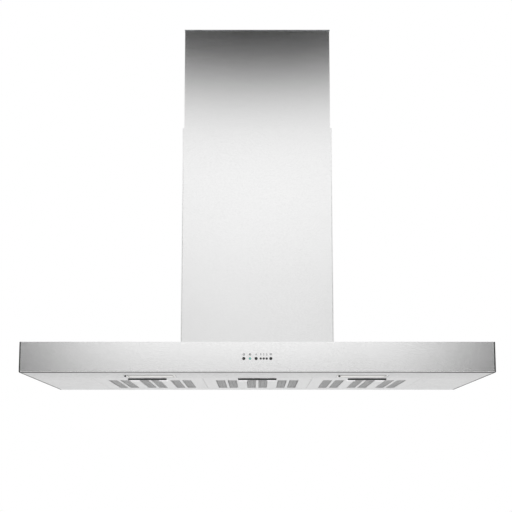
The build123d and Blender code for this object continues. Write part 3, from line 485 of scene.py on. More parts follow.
@dataclass(frozen=True)
class Bends:
    """A folded box's bends, the share of colour left under the shade painted on them and on the
    underside's front, and its dull underside.
    """

    half: tuple[float, float]
    bottom: float
    top: float
    radius: float
    upright_shade_left: float
    level_shade_left: float
    front_shade_left: float
    under_roughness: float

    @property
    def sizes(self) -> dict[str, float]:
        """The sizes, as the shared group names them."""
        names = ("Half X", "Half Y", "Bottom", "Top", "Radius")
        return dict(zip(names, (*self.half, self.bottom, self.top, self.radius)))

    @property
    def left(self) -> dict[str, float]:
        """The shares of colour left under painted shade, by the shared group's masks."""
        return {"Upright": self.upright_shade_left, "Level": self.level_shade_left, "Front": self.front_shade_left}


@dataclass(frozen=True)
class PaintedFootShade:
    """How painted shade darkens an upright sheet towards its foot."""

    low: float
    high: float
    left: float

    @property
    def sizes(self) -> dict[str, float]:
        """The sizes, as the shared group names them."""
        return {"Low": self.low, "High": self.high, "Left": self.left}


@dataclass(frozen=True)
class SheetSteel(Finish):
    """Brushed or coated sheet metal."""

    brushed: Direction = Direction.LEVEL
    streak: float = 0.10
    speck: float = 0.27
    depth: float = 0.04 * MM
    dust: float = 0.0
    dust_colour: Colour = (0.42, 0.40, 0.37)
    dust_roughness: float = 0.4
    bends: Optional[Bends] = None
    painted_foot_shade: Optional[PaintedFootShade] = None

    def inputs(self, graph: Graph) -> dict[str, Value]:
        """Brushed grain, painted shade on the bends and towards the foot, and dust over bare metal.

        Args:
            graph: the material's nodes.

        Returns:
            What feeds the shader.
        """
        stretch = self.brushed.value
        grain = self.grain(graph, brushing(), Stretch=stretch, Streak=self.streak, Speck=self.speck)
        colour, rough = grain["Colour"], grain["Roughness"]
        normal = None
        if self.painted_foot_shade:
            # Painted shade: darker towards the foot.
            colour = graph.tinted(colour, graph.use(foot_shade_factor(), self.painted_foot_shade.sizes)["Factor"])
        if self.bends:
            masks = graph.use(bend_shade_masks(), self.bends.sizes)
            normal = masks["Normal"]
            # Painted shade: each mask darkens the colour down to its share left.
            for name, left in self.bends.left.items():
                colour = graph.tinted(colour, graph.swung(1.0, masks[name], left - 1.0))
            rougher = self.bends.under_roughness - self.roughness
            rough = graph.swung(rough, masks["Under"], rougher)
        if self.dust:
            mask = graph.use(dusting(), {"Amount": self.dust})["Mask"]
            colour = graph.blend(mask, colour, opaque(self.dust_colour))
            rough = graph.swung(rough, mask, self.dust_roughness)
        return {
            "Metallic": grain["Metal"],
            "Base Color": colour,
            "Roughness": rough,
            "Normal": graph.bump(grain["Height"], self.depth, normal),
        }


@dataclass(frozen=True)
class ZincSheet(Finish):
    """Galvanised sheet with its crystals."""

    crystal: float = 55.0
    shade: float = 0.16
    stain: float = 0.12
    gloss: float = 0.14
    depth: float = 0.02 * MM

    def inputs(self, graph: Graph) -> dict[str, Value]:
        """Grey crystals of slightly different shade and gloss.

        Args:
            graph: the material's nodes.

        Returns:
            What feeds the shader.
        """
        place = {"Vector": graph.here(), "Scale": self.crystal}
        cells = graph.add("ShaderNodeTexVoronoi", place).outputs
        shade = graph.add("ShaderNodeSeparateColor", {0: cells["Color"]}).outputs[0]
        shade = graph.math("SUBTRACT", shade, 0.5)
        stain = graph.cloud(scale=14.0, detail=4.0)
        factor = graph.swung(graph.swung(1.0, shade, self.shade), stain, self.stain)
        return {
            "Metallic": 1.0,
            "Base Color": graph.tinted(self.colour, factor),
            "Roughness": graph.swung(self.roughness, shade, self.gloss),
            "Normal": graph.bump(cells["Distance"], self.depth),
        }


@dataclass(frozen=True)
class Plating(Finish):
    """Turned, drawn or plated metal with worn edges."""

    worn: Colour = grey(0.75)
    metallic: float = 1.0
    edge: float = 0.4 * MM
    streak: float = 0.12
    speck: float = 0.08
    depth: float = 0.006 * MM

    def inputs(self, graph: Graph) -> dict[str, Value]:
        """Fine turning marks, brighter where the edges are rubbed.

        Args:
            graph: the material's nodes.

        Returns:
            What feeds the shader.
        """
        stretch = Direction.ROUND.value
        grain = self.grain(graph, brushing(), Stretch=stretch, Streak=self.streak, Speck=self.speck)
        worn = graph.use(edge_wear(), {"Width": self.edge})["Mask"]
        return {
            "Metallic": self.metallic,
            "Base Color": graph.blend(worn, grain["Colour"], opaque(self.worn)),
            "Roughness": grain["Roughness"],
            "Normal": graph.bump(grain["Height"], self.depth),
        }


@dataclass(frozen=True)
class Moulded(Finish):
    """Moulded plastic or thick paint."""

    scale: float = 1600.0
    mottle: float = 0.14
    depth: float = 0.01 * MM
    coat: float = 0.0
    rubbed: float = 1.6
    paler: float = 0.01
    wear: float = 0.7
    edge: float = 0.4 * MM

    def inputs(self, graph: Graph) -> dict[str, Value]:
        """Pebbled grain, with rubbed edges a little lighter.

        Args:
            graph: the material's nodes.

        Returns:
            What feeds the shader.
        """
        grain = self.grain(graph, moulding(), Scale=self.scale, Mottle=self.mottle)
        worn = graph.use(edge_wear(), {"Width": self.edge})["Mask"]
        lighter = tuple(min(1.0, part * self.rubbed + self.paler) for part in self.colour)
        worn = graph.math("MULTIPLY", worn, self.wear)
        return {
            "Base Color": graph.blend(worn, grain["Colour"], opaque(lighter)),
            "Roughness": grain["Roughness"],
            "Coat Weight": self.coat,
            "Normal": graph.bump(grain["Height"], self.depth),
        }


@dataclass(frozen=True)
class FrostedLens(Finish):
    """Milky lamp cover, lit softly from behind."""

    glow: float = 0.0
    clear: float = 0.25
    scale: float = 900.0
    mottle: float = 0.05
    depth: float = 0.012 * MM

    def inputs(self, graph: Graph) -> dict[str, Value]:
        """Frosting of uneven density over a translucent sheet.

        Args:
            graph: the material's nodes.

        Returns:
            What feeds the shader.
        """
        grain = self.grain(graph, moulding(), Scale=self.scale, Mottle=self.mottle)
        return {
            "Transmission Weight": self.clear,
            "Base Color": grain["Colour"],
            "Roughness": grain["Roughness"],
            "Emission Color": grain["Colour"],
            "Emission Strength": self.glow,
            "Normal": graph.bump(grain["Height"], self.depth),
        }


@dataclass(frozen=True)
class CircuitBoard(Finish):
    """Green lacquered board with copper tracks under the lacquer."""

    track: Colour = (0.10, 0.36, 0.17)
    gloss: float = 0.2
    depth: float = 0.03 * MM

    def inputs(self, graph: Graph) -> dict[str, Value]:
        """Tracks as a running bond of thin lines, raised a little.

        Args:
            graph: the material's nodes.

        Returns:
            What feeds the shader.
        """
        bond = {
            "Vector": graph.here(),
            "Color1": opaque(self.colour),
            "Color2": opaque(self.colour),
            "Mortar": opaque(self.track),
            "Scale": 60.0,
            "Mortar Size": 0.06,
            "Brick Width": 0.9,
            "Row Height": 0.22,
        }
        tracks = graph.add("ShaderNodeTexBrick", bond).outputs
        cloud = graph.cloud(scale=120.0, detail=3.0)
        return {
            "Base Color": tracks["Color"],
            "Roughness": graph.swung(self.roughness, cloud, self.gloss),
            "Normal": graph.bump(tracks["Fac"], self.depth),
        }


@dataclass(frozen=True)
class Ink(Finish):
    """Screen-printed ink."""

    scale: float = 2400.0
    tint: float = 0.3
    gloss: float = 0.2

    def inputs(self, graph: Graph) -> dict[str, Value]:
        """Ink of slightly uneven cover.

        Args:
            graph: the material's nodes.

        Returns:
            What feeds the shader.
        """
        cloud = graph.cloud(self.scale, detail=3.0)
        return {
            "Base Color": graph.tinted(self.colour, graph.swung(1.0, cloud, self.tint)),
            "Roughness": graph.swung(self.roughness, cloud, self.gloss),
        }


@dataclass(frozen=True)
class PilotLens(Ink):
    """Small glossy lens of a pilot light, as uneven in colour as thick ink."""

    scale: float = 700.0
    tint: float = 0.25
    gloss: float = 0.1
    coat: float = 0.5
    glow: float = 0.0

    def inputs(self, graph: Graph) -> dict[str, Value]:
        """A clear coat over the colour, which glows.

        Args:
            graph: the material's nodes.

        Returns:
            What feeds the shader.
        """
        found = super().inputs(graph)
        lit = {"Emission Color": found["Base Color"], "Emission Strength": self.glow}
        return found | lit | {"Coat Weight": self.coat}


# Painted shade: dark lines on the canopy's corner and bottom bends, a dark band round the
# underside's border, the underside darker towards its front, and the upright faces darker towards
# their foot.
CANOPY_STEEL = SheetSteel(
    "canopy_steel",
    grey(0.918),
    0.22,
    speck=0.31,
    bends=Bends(
        half=(0.600, 0.340),
        bottom=UNDERSIDE,
        top=-0.895,
        radius=3.5 * MM,
        upright_shade_left=0.08,
        level_shade_left=0.28,
        front_shade_left=0.895,
        under_roughness=0.48,
    ),
    painted_foot_shade=PaintedFootShade(low=-0.985, high=-0.885, left=0.84),
)
COVER_STEEL = SheetSteel("cover_steel", grey(0.88), 0.30, Direction.LENGTHWISE, dust=0.10)
# Painted shade: the chimney darker towards its foot.
CHIMNEY_STEEL = SheetSteel(
    "chimney_steel", grey(0.93), 0.22, painted_foot_shade=PaintedFootShade(low=-0.90, high=-0.45, left=0.87)
)
FILTER_STEEL = SheetSteel("filter_steel", grey(0.925), 0.48, Direction.LENGTHWISE, speck=0.24)
RIM_STEEL = Plating("lamp_rim_steel", (0.50, 0.50, 0.49), 0.36, worn=(0.66, 0.66, 0.65))
TRIM_STEEL = SheetSteel("trim_steel", grey(0.97), 0.10, Direction.LENGTHWISE)
WIRE_ALUMINIUM = Plating("mesh_aluminium_strands", grey(0.66), 0.34, grey(0.9), edge=0.3 * MM)
SPRING_WIRE = Plating("spring_wire", (0.62, 0.62, 0.64), 0.28, edge=0.1 * MM)
BLACK_OXIDE = Plating("black_oxide", (0.045, 0.045, 0.047), 0.42, grey(0.30), metallic=0.6)
PRINT = Ink("printed_signs", (0.035, 0.035, 0.04), 0.5)

SLOT_FINISH: dict[str, Finish] = {
    "brushed_steel": CHIMNEY_STEEL,
    "galvanised_steel": ZincSheet("galvanised", (0.60, 0.62, 0.64), 0.42),
    "zinc_fasteners": Plating("bright_zinc", (0.70, 0.71, 0.72), 0.28),
    "dark_fasteners": BLACK_OXIDE,
    "shaft_steel": Plating("ground_shaft", (0.72, 0.72, 0.73), 0.20),
    "mesh_aluminium": WIRE_ALUMINIUM,
    "can_aluminium": Plating("drawn_can", (0.76, 0.77, 0.78), 0.30, worn=grey(0.88)),
    "spring_steel": SPRING_WIRE,
    "motor_paint": Moulded(
        "motor_paint", (0.035, 0.037, 0.040), 0.45, scale=700.0, depth=0.03 * MM, rubbed=3.0
    ),
    "fan_plastic": Moulded("fan_plastic", (0.022, 0.024, 0.027), 0.50),
    "latch_plastic": Moulded("latch_plastic", (0.040, 0.040, 0.041), 0.42, rubbed=2.2),
    "button_plastic": Moulded(
        "button_plastic", (0.006, 0.006, 0.007), 0.22, scale=2600.0, depth=0.004 * MM, coat=0.4
    ),
    "white_plastic": Moulded("white_plastic", (0.72, 0.72, 0.69), 0.45, rubbed=1.1),
    "black_plastic": Moulded("black_plastic", (0.012, 0.012, 0.013), 0.48),
    "lamp_diffuser": FrostedLens("lamp_lens", (0.90, 0.892, 0.872), 0.45, glow=0.13),
    "light_clear": PilotLens("dark_pilot_lens", (0.006, 0.006, 0.007), 0.16),
    "light_green": PilotLens("green_pilot_lens", (0.10, 0.50, 0.40), 0.20, glow=0.28),
    "circuit_board": CircuitBoard("board_lacquer", (0.015, 0.12, 0.05), 0.32),
}

NODE_FINISH: dict[str, Finish] = {"canopy_shell": CANOPY_STEEL, "top_cover": COVER_STEEL} | {
    f"filter_panel_{side.value}": FILTER_STEEL for side in Side
}


# ---------------------------------------------------------------- surfaces


@dataclass
class Surface:
    """Points, four-sided faces and many-sided end faces of one mesh."""

    points: np.ndarray
    faces: np.ndarray
    ends: list[np.ndarray] = field(default_factory=list)

    @staticmethod
    def joined(parts: Iterable["Surface"]) -> "Surface":
        """Several surfaces as one, with the faces renumbered.

        Args:
            parts: the surfaces.

        Returns:
            One surface.
        """
        parts = list(parts)
        starts = np.cumsum([0] + [len(part.points) for part in parts[:-1]])
        faces = np.vstack([part.faces + start for part, start in zip(parts, starts)])
        ends = [end + start for part, start in zip(parts, starts) for end in part.ends]
        return Surface(np.vstack([part.points for part in parts]), faces, ends)


def points_at(x: np.ndarray, y: np.ndarray, z: np.ndarray) -> np.ndarray:
    """Points of those coordinates, each array repeated to fit the others."""
    return np.stack(np.broadcast_arrays(x, y, z), axis=-1)


def round_angles(count: int) -> np.ndarray:
    """That many angles, evenly round a circle."""
    return np.linspace(0.0, 2 * math.pi, count + 1)[:-1]


def bars(sections: np.ndarray, closed: bool = False) -> Surface:
    """Solid bars through rows of sections.

    Formula: each side face joins two neighbouring corners of one section to the same two of the
    next section. The first and last sections are the end faces, or the bar is closed on itself.

    Args:
        sections: corners, shaped (bars, stations, corners, 3), counter-clockwise seen from ahead.
        closed: whether the last section joins the first.

    Returns:
        The bars as one surface, with its faces outward.
    """
    count, stations, corners = sections.shape[:3]
    points = sections.reshape(-1, 3)
    index = np.arange(count * stations * corners).reshape(count, stations, corners)
    beside = np.roll(index, -1, axis=2)
    if closed:
        ahead, ahead_beside = np.roll(index, -1, axis=1), np.roll(beside, -1, axis=1)
        sides = np.stack([index, beside, ahead_beside, ahead], axis=-1)
        return Surface(points, sides.reshape(-1, 4))
    sides = np.stack([index[:, :-1], beside[:, :-1], beside[:, 1:], index[:, 1:]], axis=-1)
    sides = sides.reshape(-1, 4)
    ends = np.vstack([index[:, 0, ::-1], index[:, -1]])
    if corners == 4:
        return Surface(points, np.vstack([sides, ends]))
    return Surface(points, sides, list(ends))


def new_object(
    name: str, points: np.ndarray, faces: Sequence[Sequence[int]], material: Material
) -> Object:
    """Puts a mesh into the scene.

    Args:
        name: the object's name.
        points: the mesh's points.
        faces: the points of each face.
        material: what covers it.

    Returns:
        The new object.
    """
    mesh = bpy.data.meshes.new(name)
    mesh.from_pydata(points.tolist(), [], faces)
    mesh.validate()
    mesh.update()
    mesh.materials.append(material)
    made = bpy.data.objects.new(name, mesh)
    bpy.context.scene.collection.objects.link(made)
    return made


def piece(
    name: str,
    surface: Surface,
    finish: Finish,
    body: str,
    stands_for: Sequence[str] = (),
) -> Object:
    """Puts a surface into the scene as a piece of the object.

    Args:
        name: the piece's name.
        surface: its points and faces.
        finish: what it is covered with.
        body: the body that it moves with.
        stands_for: the nodes that it replaces.

    Returns:
        The new object.
    """
    faces = surface.faces.tolist() + [end.tolist() for end in surface.ends]
    made = new_object(name, surface.points, faces, material_of(finish))
    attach(made, body)
    if stands_for:
        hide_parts(*stands_for)
    log.info("%s: %d faces on %s", name, len(surface.faces), body)
    return made


# ---------------------------------------------------------------- filters


@dataclass(frozen=True)
class Cell:
    """One diamond of a stretched mesh and its strands."""

    width: float
    height: float
    strand: float
    sheet: float
    level: float


@dataclass
class GreaseFilter:
    """One tipping filter: its layers of stretched mesh, its bright plates and its latch spring."""

    side: Side
    layers: tuple[Cell, ...] = (
        Cell(width=10 * MM, height=5 * MM, strand=2.2 * MM, sheet=0.4 * MM, level=0.9 * MM),
        Cell(width=16 * MM, height=8 * MM, strand=3.0 * MM, sheet=0.5 * MM, level=2.8 * MM),
    )
    strand_tilt: float = math.radians(32)
    knuckle: float = 0.3
    step_share: float = 0.98
    row_step: float = 0.05 * MM
    notch_half_width: float = 32 * MM
    notch_rear: float = -98 * MM
    plate_reach: tuple[float, float] = (26.5 * MM, 51.0 * MM)
    plate_depth: tuple[float, float] = (-80 * MM, -58 * MM)
    plate_sheet: float = 0.4 * MM
    plate_drop: float = 1.95 * MM
    spring_turns: int = 8
    turn_steps: int = 20
    spring_wire: float = 0.6 * MM
    wire_sides: int = 8
    latch_travel: float = 6.0 * MM

    @property
    def node(self) -> str:
        """The node that the mesh layers stand for."""
        return f"filter_mesh_{self.side.value}"

    @property
    def body(self) -> str:
        """The body that the filter moves with."""
        return f"filter_{self.side.value}"

    def strands(
        self, x: tuple[float, float], y: tuple[float, float], bottom: float, cell: Cell
    ) -> Surface:
        """Rows of a slit and stretched sheet.

        Formula: a strand is a tilted ribbon along x. Its middle line steps between two levels, half
        a diamond apart from the row's own line, staying flat for a short knuckle at each level. The
        next row is half a wave along, so that its low knuckles meet this row's high ones.

        Args:
            x: where the rows start and end.
            y: the strip that the rows fill.
            bottom: height of the pack's underside.
            cell: the diamond.

        Returns:
            The rows as one surface.
        """
        rows = int((y[1] - y[0] - cell.strand) / cell.height)
        waves = int((x[1] - x[0]) / (cell.width / 2)) - 1
        first = (x[0] + x[1] - waves * cell.width / 2) / 2
        row = np.arange(rows)[:, None]
        wave = np.repeat(np.arange(waves + 1), 2)[None, :]
        lead = np.tile([-1.0, 1.0], waves + 1)[None, :] * self.knuckle / 2
        along = first + (wave + lead) * cell.width / 2 + 0.0 * row
        spare = (y[1] - y[0] - rows * cell.height) / 2
        across = y[0] + spare + (row + 0.5) * cell.height
        across = across + cell.height / 2 * (1.0 - 2.0 * ((wave + row) % 2)) * self.step_share
        height = bottom + cell.level + self.row_step * (row % 2) + 0.0 * along
        wide = np.array([1.0, -1.0, -1.0, 1.0]) * cell.strand / 2
        thick = np.array([1.0, 1.0, -1.0, -1.0]) * cell.sheet / 2
        turn, rise = math.cos(self.strand_tilt), math.sin(self.strand_tilt)
        sections = points_at(
            along[..., None],
            across[..., None] + wide * turn - thick * rise,
            height[..., None] + wide * rise + thick * turn,
        )
        return bars(sections)

    def mesh_pack(self) -> None:
        """Builds the layers of mesh, open over the latch."""
        low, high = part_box(self.node)
        middle = (low.x + high.x) / 2
        strips = (
            ((low.x, high.x), (self.notch_rear, high.y)),
            ((low.x, middle - self.notch_half_width), (low.y, self.notch_rear)),
            ((middle + self.notch_half_width, high.x), (low.y, self.notch_rear)),
        )
        parts = [self.strands(x, y, low.z, cell) for cell in self.layers for x, y in strips]
        name = f"mesh_pack_{self.side.value}"
        piece(name, Surface.joined(parts), WIRE_ALUMINIUM, self.body, [self.node])

    def latch_plates(self) -> None:
        """Builds the two bright sloping plates behind the latch.

        Formula: each plate is a flat bar along x that falls evenly towards the rear, from the
        panel's underside. Its two end sections are drawn in a little, which rounds the ends.
        """
        low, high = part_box(f"filter_panel_{self.side.value}")
        thick = self.plate_sheet
        (inner, outer), (front, rear) = self.plate_reach, self.plate_depth
        reach = np.array([inner, inner + thick, outer - thick, outer])
        inset = np.array([thick, 0.0, 0.0, thick])[:, None]
        depth = np.hstack([front + inset, front + inset, rear - inset, rear - inset])
        fall = (depth - front) / (rear - front) * self.plate_drop
        level = low.z - fall + np.array([thick, 0.0, 0.0, thick])
        parts = []
        for sign in (-1.0, 1.0):
            along = (low.x + high.x) / 2 + np.sort(sign * reach)
            parts.append(bars(points_at(along[:, None], depth, level)[None]))
        name = f"latch_plates_{self.side.value}"
        piece(name, Surface.joined(parts), TRIM_STEEL, self.body)

    def spring(self) -> None:
        """Builds the latch's compression spring.

        Formula: a round wire along a helix round the y axis. The turn at either end rises by one
        wire, the turns between share the rest evenly. The wire's section is a circle in the plane
        of the helix's radius and axis.
        """
        node = f"latch_spring_{self.side.value}"
        low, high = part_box(node)
        wire = self.spring_wire / 2
        coil = (high.x - low.x) / 2 - wire
        turn = np.linspace(0.0, self.spring_turns, self.spring_turns * self.turn_steps + 1)
        length = high.y - low.y - 2 * wire
        marks = [0.0, 1.0, self.spring_turns - 1.0, float(self.spring_turns)]
        along = low.y + wire + np.interp(turn, marks, [0.0, 2 * wire, length - 2 * wire, length])
        angle = turn * 2 * math.pi
        round_wire = round_angles(self.wire_sides)
        reach = coil + wire * np.cos(round_wire)[None, :]
        sections = points_at(
            (low.x + high.x) / 2 + np.cos(angle)[:, None] * reach,
            along[:, None] + wire * np.sin(round_wire)[None, :],
            (low.z + high.z) / 2 + np.sin(angle)[:, None] * reach,
        )
        name = f"coil_spring_{self.side.value}"
        made = piece(name, bars(sections[None]), SPRING_WIRE, self.body, [node])
        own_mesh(made)

    def build(self) -> None:
        """Builds this filter's own pieces."""
        self.mesh_pack()
        self.latch_plates()
        self.spring()


@dataclass
class SeamStrips:
    """Thin upright strips of sheet that fill the seams beside the filters."""

    outer_play: float = 0.03 * MM
    inner_play: float = 0.22 * MM
    sunk: float = 0.15 * MM
    height: float = 8.0 * MM

    def build(self) -> None:
        """Builds a strip between each two filters and one beside each outer filter.

        Formula: a strip is a flat bar along y. Its section is a rectangle that fills the seam but
        for its play on either side.
        """
        boxes = [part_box(f"filter_panel_{side.value}") for side in Side]
        seams = [(left[1].x, right[0].x, self.inner_play) for left, right in zip(boxes, boxes[1:])]
        gap = seams[0][1] - seams[0][0]
        seams.append((boxes[0][0].x - gap, boxes[0][0].x, self.outer_play))
        seams.append((boxes[-1][1].x, boxes[-1][1].x + gap, self.outer_play))
        span = np.array([[start + play, end - play] for start, end, play in seams])
        low, high = boxes[0]
        bottom = low.z + self.sunk
        sections = points_at(
            span[:, [1, 0, 0, 1]][:, None, :],
            np.array([low.y, high.y])[None, :, None],
            np.array([bottom, bottom, bottom + self.height, bottom + self.height]),
        )
        piece("filter_seam_strips", bars(sections), FILTER_STEEL, "hood")


# ---------------------------------------------------------------- lamps


@dataclass
class LampTrim:
    """The raised rim round one lamp's cover, and its knurled knob.

    The knob's grip is outlined from its face up, in shares of its radius and its height and of
    the knurls' depth.
    """

    side: Side
    rim_width: float = 2.2 * MM
    rim_height: float = 1.6 * MM
    rim_rear_height: float = 0.3 * MM
    rim_inset: float = 0.3 * MM
    rim_corner: float = 3.0 * MM
    corner_steps: int = 9
    section_steps: int = 9
    knob_room: float = 6.6 * MM
    hinge_room: float = 4.6 * MM
    knurls: int = 20
    knurl_depth: float = 0.18 * MM
    knurl_steps: int = 6
    grip: tuple[tuple[float, float, float], ...] = (
        (0.30, 0.00, 0.0),
        (0.86, 0.00, 0.0),
        (0.97, 0.05, 0.3),
        (1.00, 0.12, 1.0),
        (1.00, 0.80, 1.0),
        (0.97, 0.88, 0.3),
        (0.90, 0.93, 0.0),
    )
    shank: float = 0.64
    neck: float = 0.05
    tip: float = 0.75
    tip_length: float = 0.4 * MM

    @property
    def body(self) -> str:
        """The body that the cover moves with."""
        return f"lamp_cover_{self.side.value}"

    def rim(self) -> None:
        """Builds the rim.

        Formula: the path is a rounded rectangle, four quarter circles joined by straight lines. The
        section is half an ellipse that hangs below the cover, square to the path, closed inside the
        cover. Its height falls evenly from the front to the rear.
        """
        low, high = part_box(self.body)
        edge = self.rim_inset + self.rim_width / 2 + self.rim_corner
        x = np.array([low.x + self.knob_room + edge, high.x - self.hinge_room - edge])
        y = np.array([low.y + edge, high.y - edge])
        centre = np.array([[x[1], y[1]], [x[0], y[1]], [x[0], y[0]], [x[1], y[0]]])
        corner = np.linspace(0.0, 90.0, self.corner_steps)
        angle = np.radians(np.arange(4)[:, None] * 90.0 + corner[None, :]).ravel()
        outward = np.column_stack([np.cos(angle), np.sin(angle)])
        path = np.repeat(centre, self.corner_steps, axis=0) + outward * self.rim_corner
        turn = np.linspace(0.0, math.pi, self.section_steps)
        aside = np.cos(turn) * self.rim_width / 2
        share = np.clip((path[:, 1] - low.y) / (high.y - low.y), 0.0, 1.0)
        tall = self.rim_height + (self.rim_rear_height - self.rim_height) * share
        drop = -np.sin(turn) * tall[:, None]
        drop[:, [0, -1]] = self.rim_inset
        flat = path[:, None, :] + outward[:, None, :] * aside[None, :, None]
        sections = np.concatenate([flat, (low.z + drop)[..., None]], axis=-1)
        name = f"lamp_rim_{self.side.value}"
        piece(name, bars(sections[None], closed=True), RIM_STEEL, self.body)

    def knob(self) -> None:
        """Builds the knob and its shank.

        Formula: rings round a vertical axis. A ring's radius follows the outline of the screw, and
        on the grip it swells and shrinks as a cosine, once for each knurl.
        """
        node = f"lamp_catch_{self.side.value}"
        low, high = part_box(node)
        cover_low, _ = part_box(self.body)
        radius = (high.x - low.x) / 2
        shank = radius * self.shank
        tall = cover_low.z - low.z
        grip = np.array(self.grip) * [radius, tall, 1.0] + [0.0, low.z, 0.0]
        thread = [
            [shank, cover_low.z - tall * self.neck, 0.0],
            [shank, high.z - self.tip_length, 0.0],
            [shank * self.tip, high.z, 0.0],
        ]
        outline = np.vstack([grip, thread])
        angle = round_angles(self.knurls * self.knurl_steps)
        ridge = (np.cos(angle * self.knurls) - 1.0) / 2 * self.knurl_depth
        reach = outline[:, :1] + outline[:, 2:] * ridge[None, :]
        sections = points_at(
            (low.x + high.x) / 2 + reach * np.cos(angle),
            (low.y + high.y) / 2 + reach * np.sin(angle),
            outline[:, 1:2],
        )
        name = f"lamp_knob_{self.side.value}"
        piece(name, bars(sections[None]), BLACK_OXIDE, self.body, [node])

    def build(self) -> None:
        """Builds this lamp's own pieces."""
        self.rim()
        self.knob()


# ---------------------------------------------------------------- printed signs


@dataclass(frozen=True)
class Stroke:
    """A line of a sign: its points, and whether it closes on itself."""

    points: np.ndarray
    closed: bool = False


def arc(x: float, z: float, radius: float, start: float, end: float, steps: int = 20) -> np.ndarray:
    """Points on a circle, from one angle in degrees to another."""
    angle = np.radians(np.linspace(start, end, steps))
    return np.column_stack([x + radius * np.cos(angle), z + radius * np.sin(angle)])


def loop(x: float, z: float, radius: float, steps: int = 28) -> Stroke:
    """A whole circle."""
    return Stroke(arc(x, z, radius, 0.0, 360.0, steps + 1)[:-1], closed=True)


def line(*points: tuple[float, float]) -> Stroke:
    """A line through those points."""
    return Stroke(np.array(points))


def turned(points: np.ndarray, degrees: float) -> np.ndarray:
    """Points turned about the sign's middle."""
    turn, rise = math.cos(math.radians(degrees)), math.sin(math.radians(degrees))
    return points @ np.array([[turn, -rise], [rise, turn]]).T


def sign_lines() -> dict[Mark, list[Stroke]]:
    """Draws each sign about one wide and one high, round its middle.

    Returns:
        The strokes of each sign.
    """
    blade = arc(0.22, 0.0, 0.20, 180.0, -60.0, 14)
    bowl = arc(0.0, 0.20, 0.26, 160.0, -38.0, 14)
    rays = [
        line(*[(reach * math.cos(turn), 0.02 + reach * math.sin(turn)) for reach in (0.42, 0.60)])
        for turn in np.radians([0.0, 45.0, 135.0, 180.0])
    ]
    return {
        Mark.POWER: [Stroke(arc(0.0, -0.03, 0.38, 122.0, 418.0)), line((0.0, 0.50), (0.0, 0.0))],
        Mark.FILTER: [
            loop(0.0, 0.0, 0.44), line((-0.40, 0.0), (0.40, 0.0)), line((0.0, -0.40), (0.0, 0.40))
        ],
        Mark.FAN: [Stroke(turned(blade, turn)) for turn in (90.0, 210.0, 330.0)]
        + [loop(0.0, 0.0, 0.07, 10)],
        Mark.ONE: [line((0.04, 0.46), (0.04, -0.46)), line((-0.18, 0.26), (0.02, 0.42))],
        Mark.TWO: [
            Stroke(bowl), line(tuple(bowl[-1]), (-0.24, -0.40)), line((-0.30, -0.42), (0.28, -0.42))
        ],
        Mark.THREE: [
            Stroke(arc(0.0, 0.22, 0.22, 150.0, -90.0, 14)),
            Stroke(arc(0.0, -0.22, 0.24, 90.0, -150.0, 14)),
        ],
        Mark.LIGHT: [
            Stroke(arc(0.0, 0.06, 0.24, -60.0, 240.0)), line((-0.12, -0.30), (0.12, -0.30)), *rays
        ],
    }


@dataclass(frozen=True)
class Sign:
    """Where a sign stands, its size, the width of its lines and its light's ring."""

    x: float
    height: float = 5.6 * MM
    width: float = 5.6 * MM
    stroke: float = 0.75 * MM
    ring: float = 0.0


@dataclass
class ControlSigns:
    """The row of signs printed above the buttons, and the rings round the small lights."""

    level: float = UNDERSIDE + 45.9 * MM
    light_level: float = UNDERSIDE + 35.5 * MM
    proud: float = 0.05 * MM
    sunk: float = 0.05 * MM
    stroke_step: float = 0.008 * MM
    ring_stroke: float = 1.4 * MM
    signs: dict[Mark, Sign] = field(
        default_factory=lambda: {
            Mark.POWER: Sign(-34.0 * MM, stroke=1.2 * MM),
            Mark.FILTER: Sign(-18.3 * MM, stroke=0.78 * MM, ring=2.25 * MM),
            Mark.FAN: Sign(-3.0 * MM, stroke=0.50 * MM),
            Mark.ONE: Sign(8.6 * MM, 5.0 * MM, 4.2 * MM, 1.35 * MM, 2.23 * MM),
            Mark.TWO: Sign(16.1 * MM, 5.0 * MM, 3.4 * MM, 0.85 * MM, 2.23 * MM),
            Mark.THREE: Sign(23.6 * MM, 5.0 * MM, 3.4 * MM, 1.10 * MM, 2.23 * MM),
            Mark.LIGHT: Sign(34.0 * MM, stroke=1.05 * MM),
        }
    )

    def ribbon(self, stroke: Stroke, width: float, lift: float = 0.0) -> Surface:
        """One line as a thin solid on the canopy's front.

        Formula: at each point the ribbon reaches half its width to either side, square to the
        middle of the two directions that meet there, and from just under the sheet to just over it.

        Args:
            stroke: the line, its points as x and z.
            width: the line's width.
            lift: how far it stands above its sign's first line, so that no two share a face.

        Returns:
            The line as a surface.
        """
        low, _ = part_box("canopy_shell")
        path = stroke.points
        if stroke.closed:
            direction = np.roll(path, -1, axis=0) - np.roll(path, 1, axis=0)
        else:
            direction = np.gradient(path, axis=0)
        direction /= np.linalg.norm(direction, axis=1)[:, None]
        aside = np.column_stack([direction[:, 1], -direction[:, 0]])
        reach = np.array([1.0, -1.0, -1.0, 1.0]) * width / 2
        face = -self.proud - lift
        sections = points_at(
            path[:, None, 0] + aside[:, None, 0] * reach,
            low.y + np.array([self.sunk, self.sunk, face, face]),
            path[:, None, 1] + aside[:, None, 1] * reach,
        )
        return bars(sections[None], stroke.closed)

    def build(self) -> None:
        """Builds one piece for each sign."""
        lines = sign_lines()
        for mark, sign in self.signs.items():
            size, middle = np.array([sign.width, sign.height]), np.array([sign.x, self.level])
            parts = []
            for place, stroke in enumerate(lines[mark]):
                placed = Stroke(stroke.points * size + middle, stroke.closed)
                parts.append(self.ribbon(placed, sign.stroke, place * self.stroke_step))
            if sign.ring:
                ring = loop(sign.x, self.light_level, sign.ring)
                parts.append(self.ribbon(ring, self.ring_stroke))
            piece(f"sign_{mark.value}", Surface.joined(parts), PRINT, "hood")


# ---------------------------------------------------------------- studio


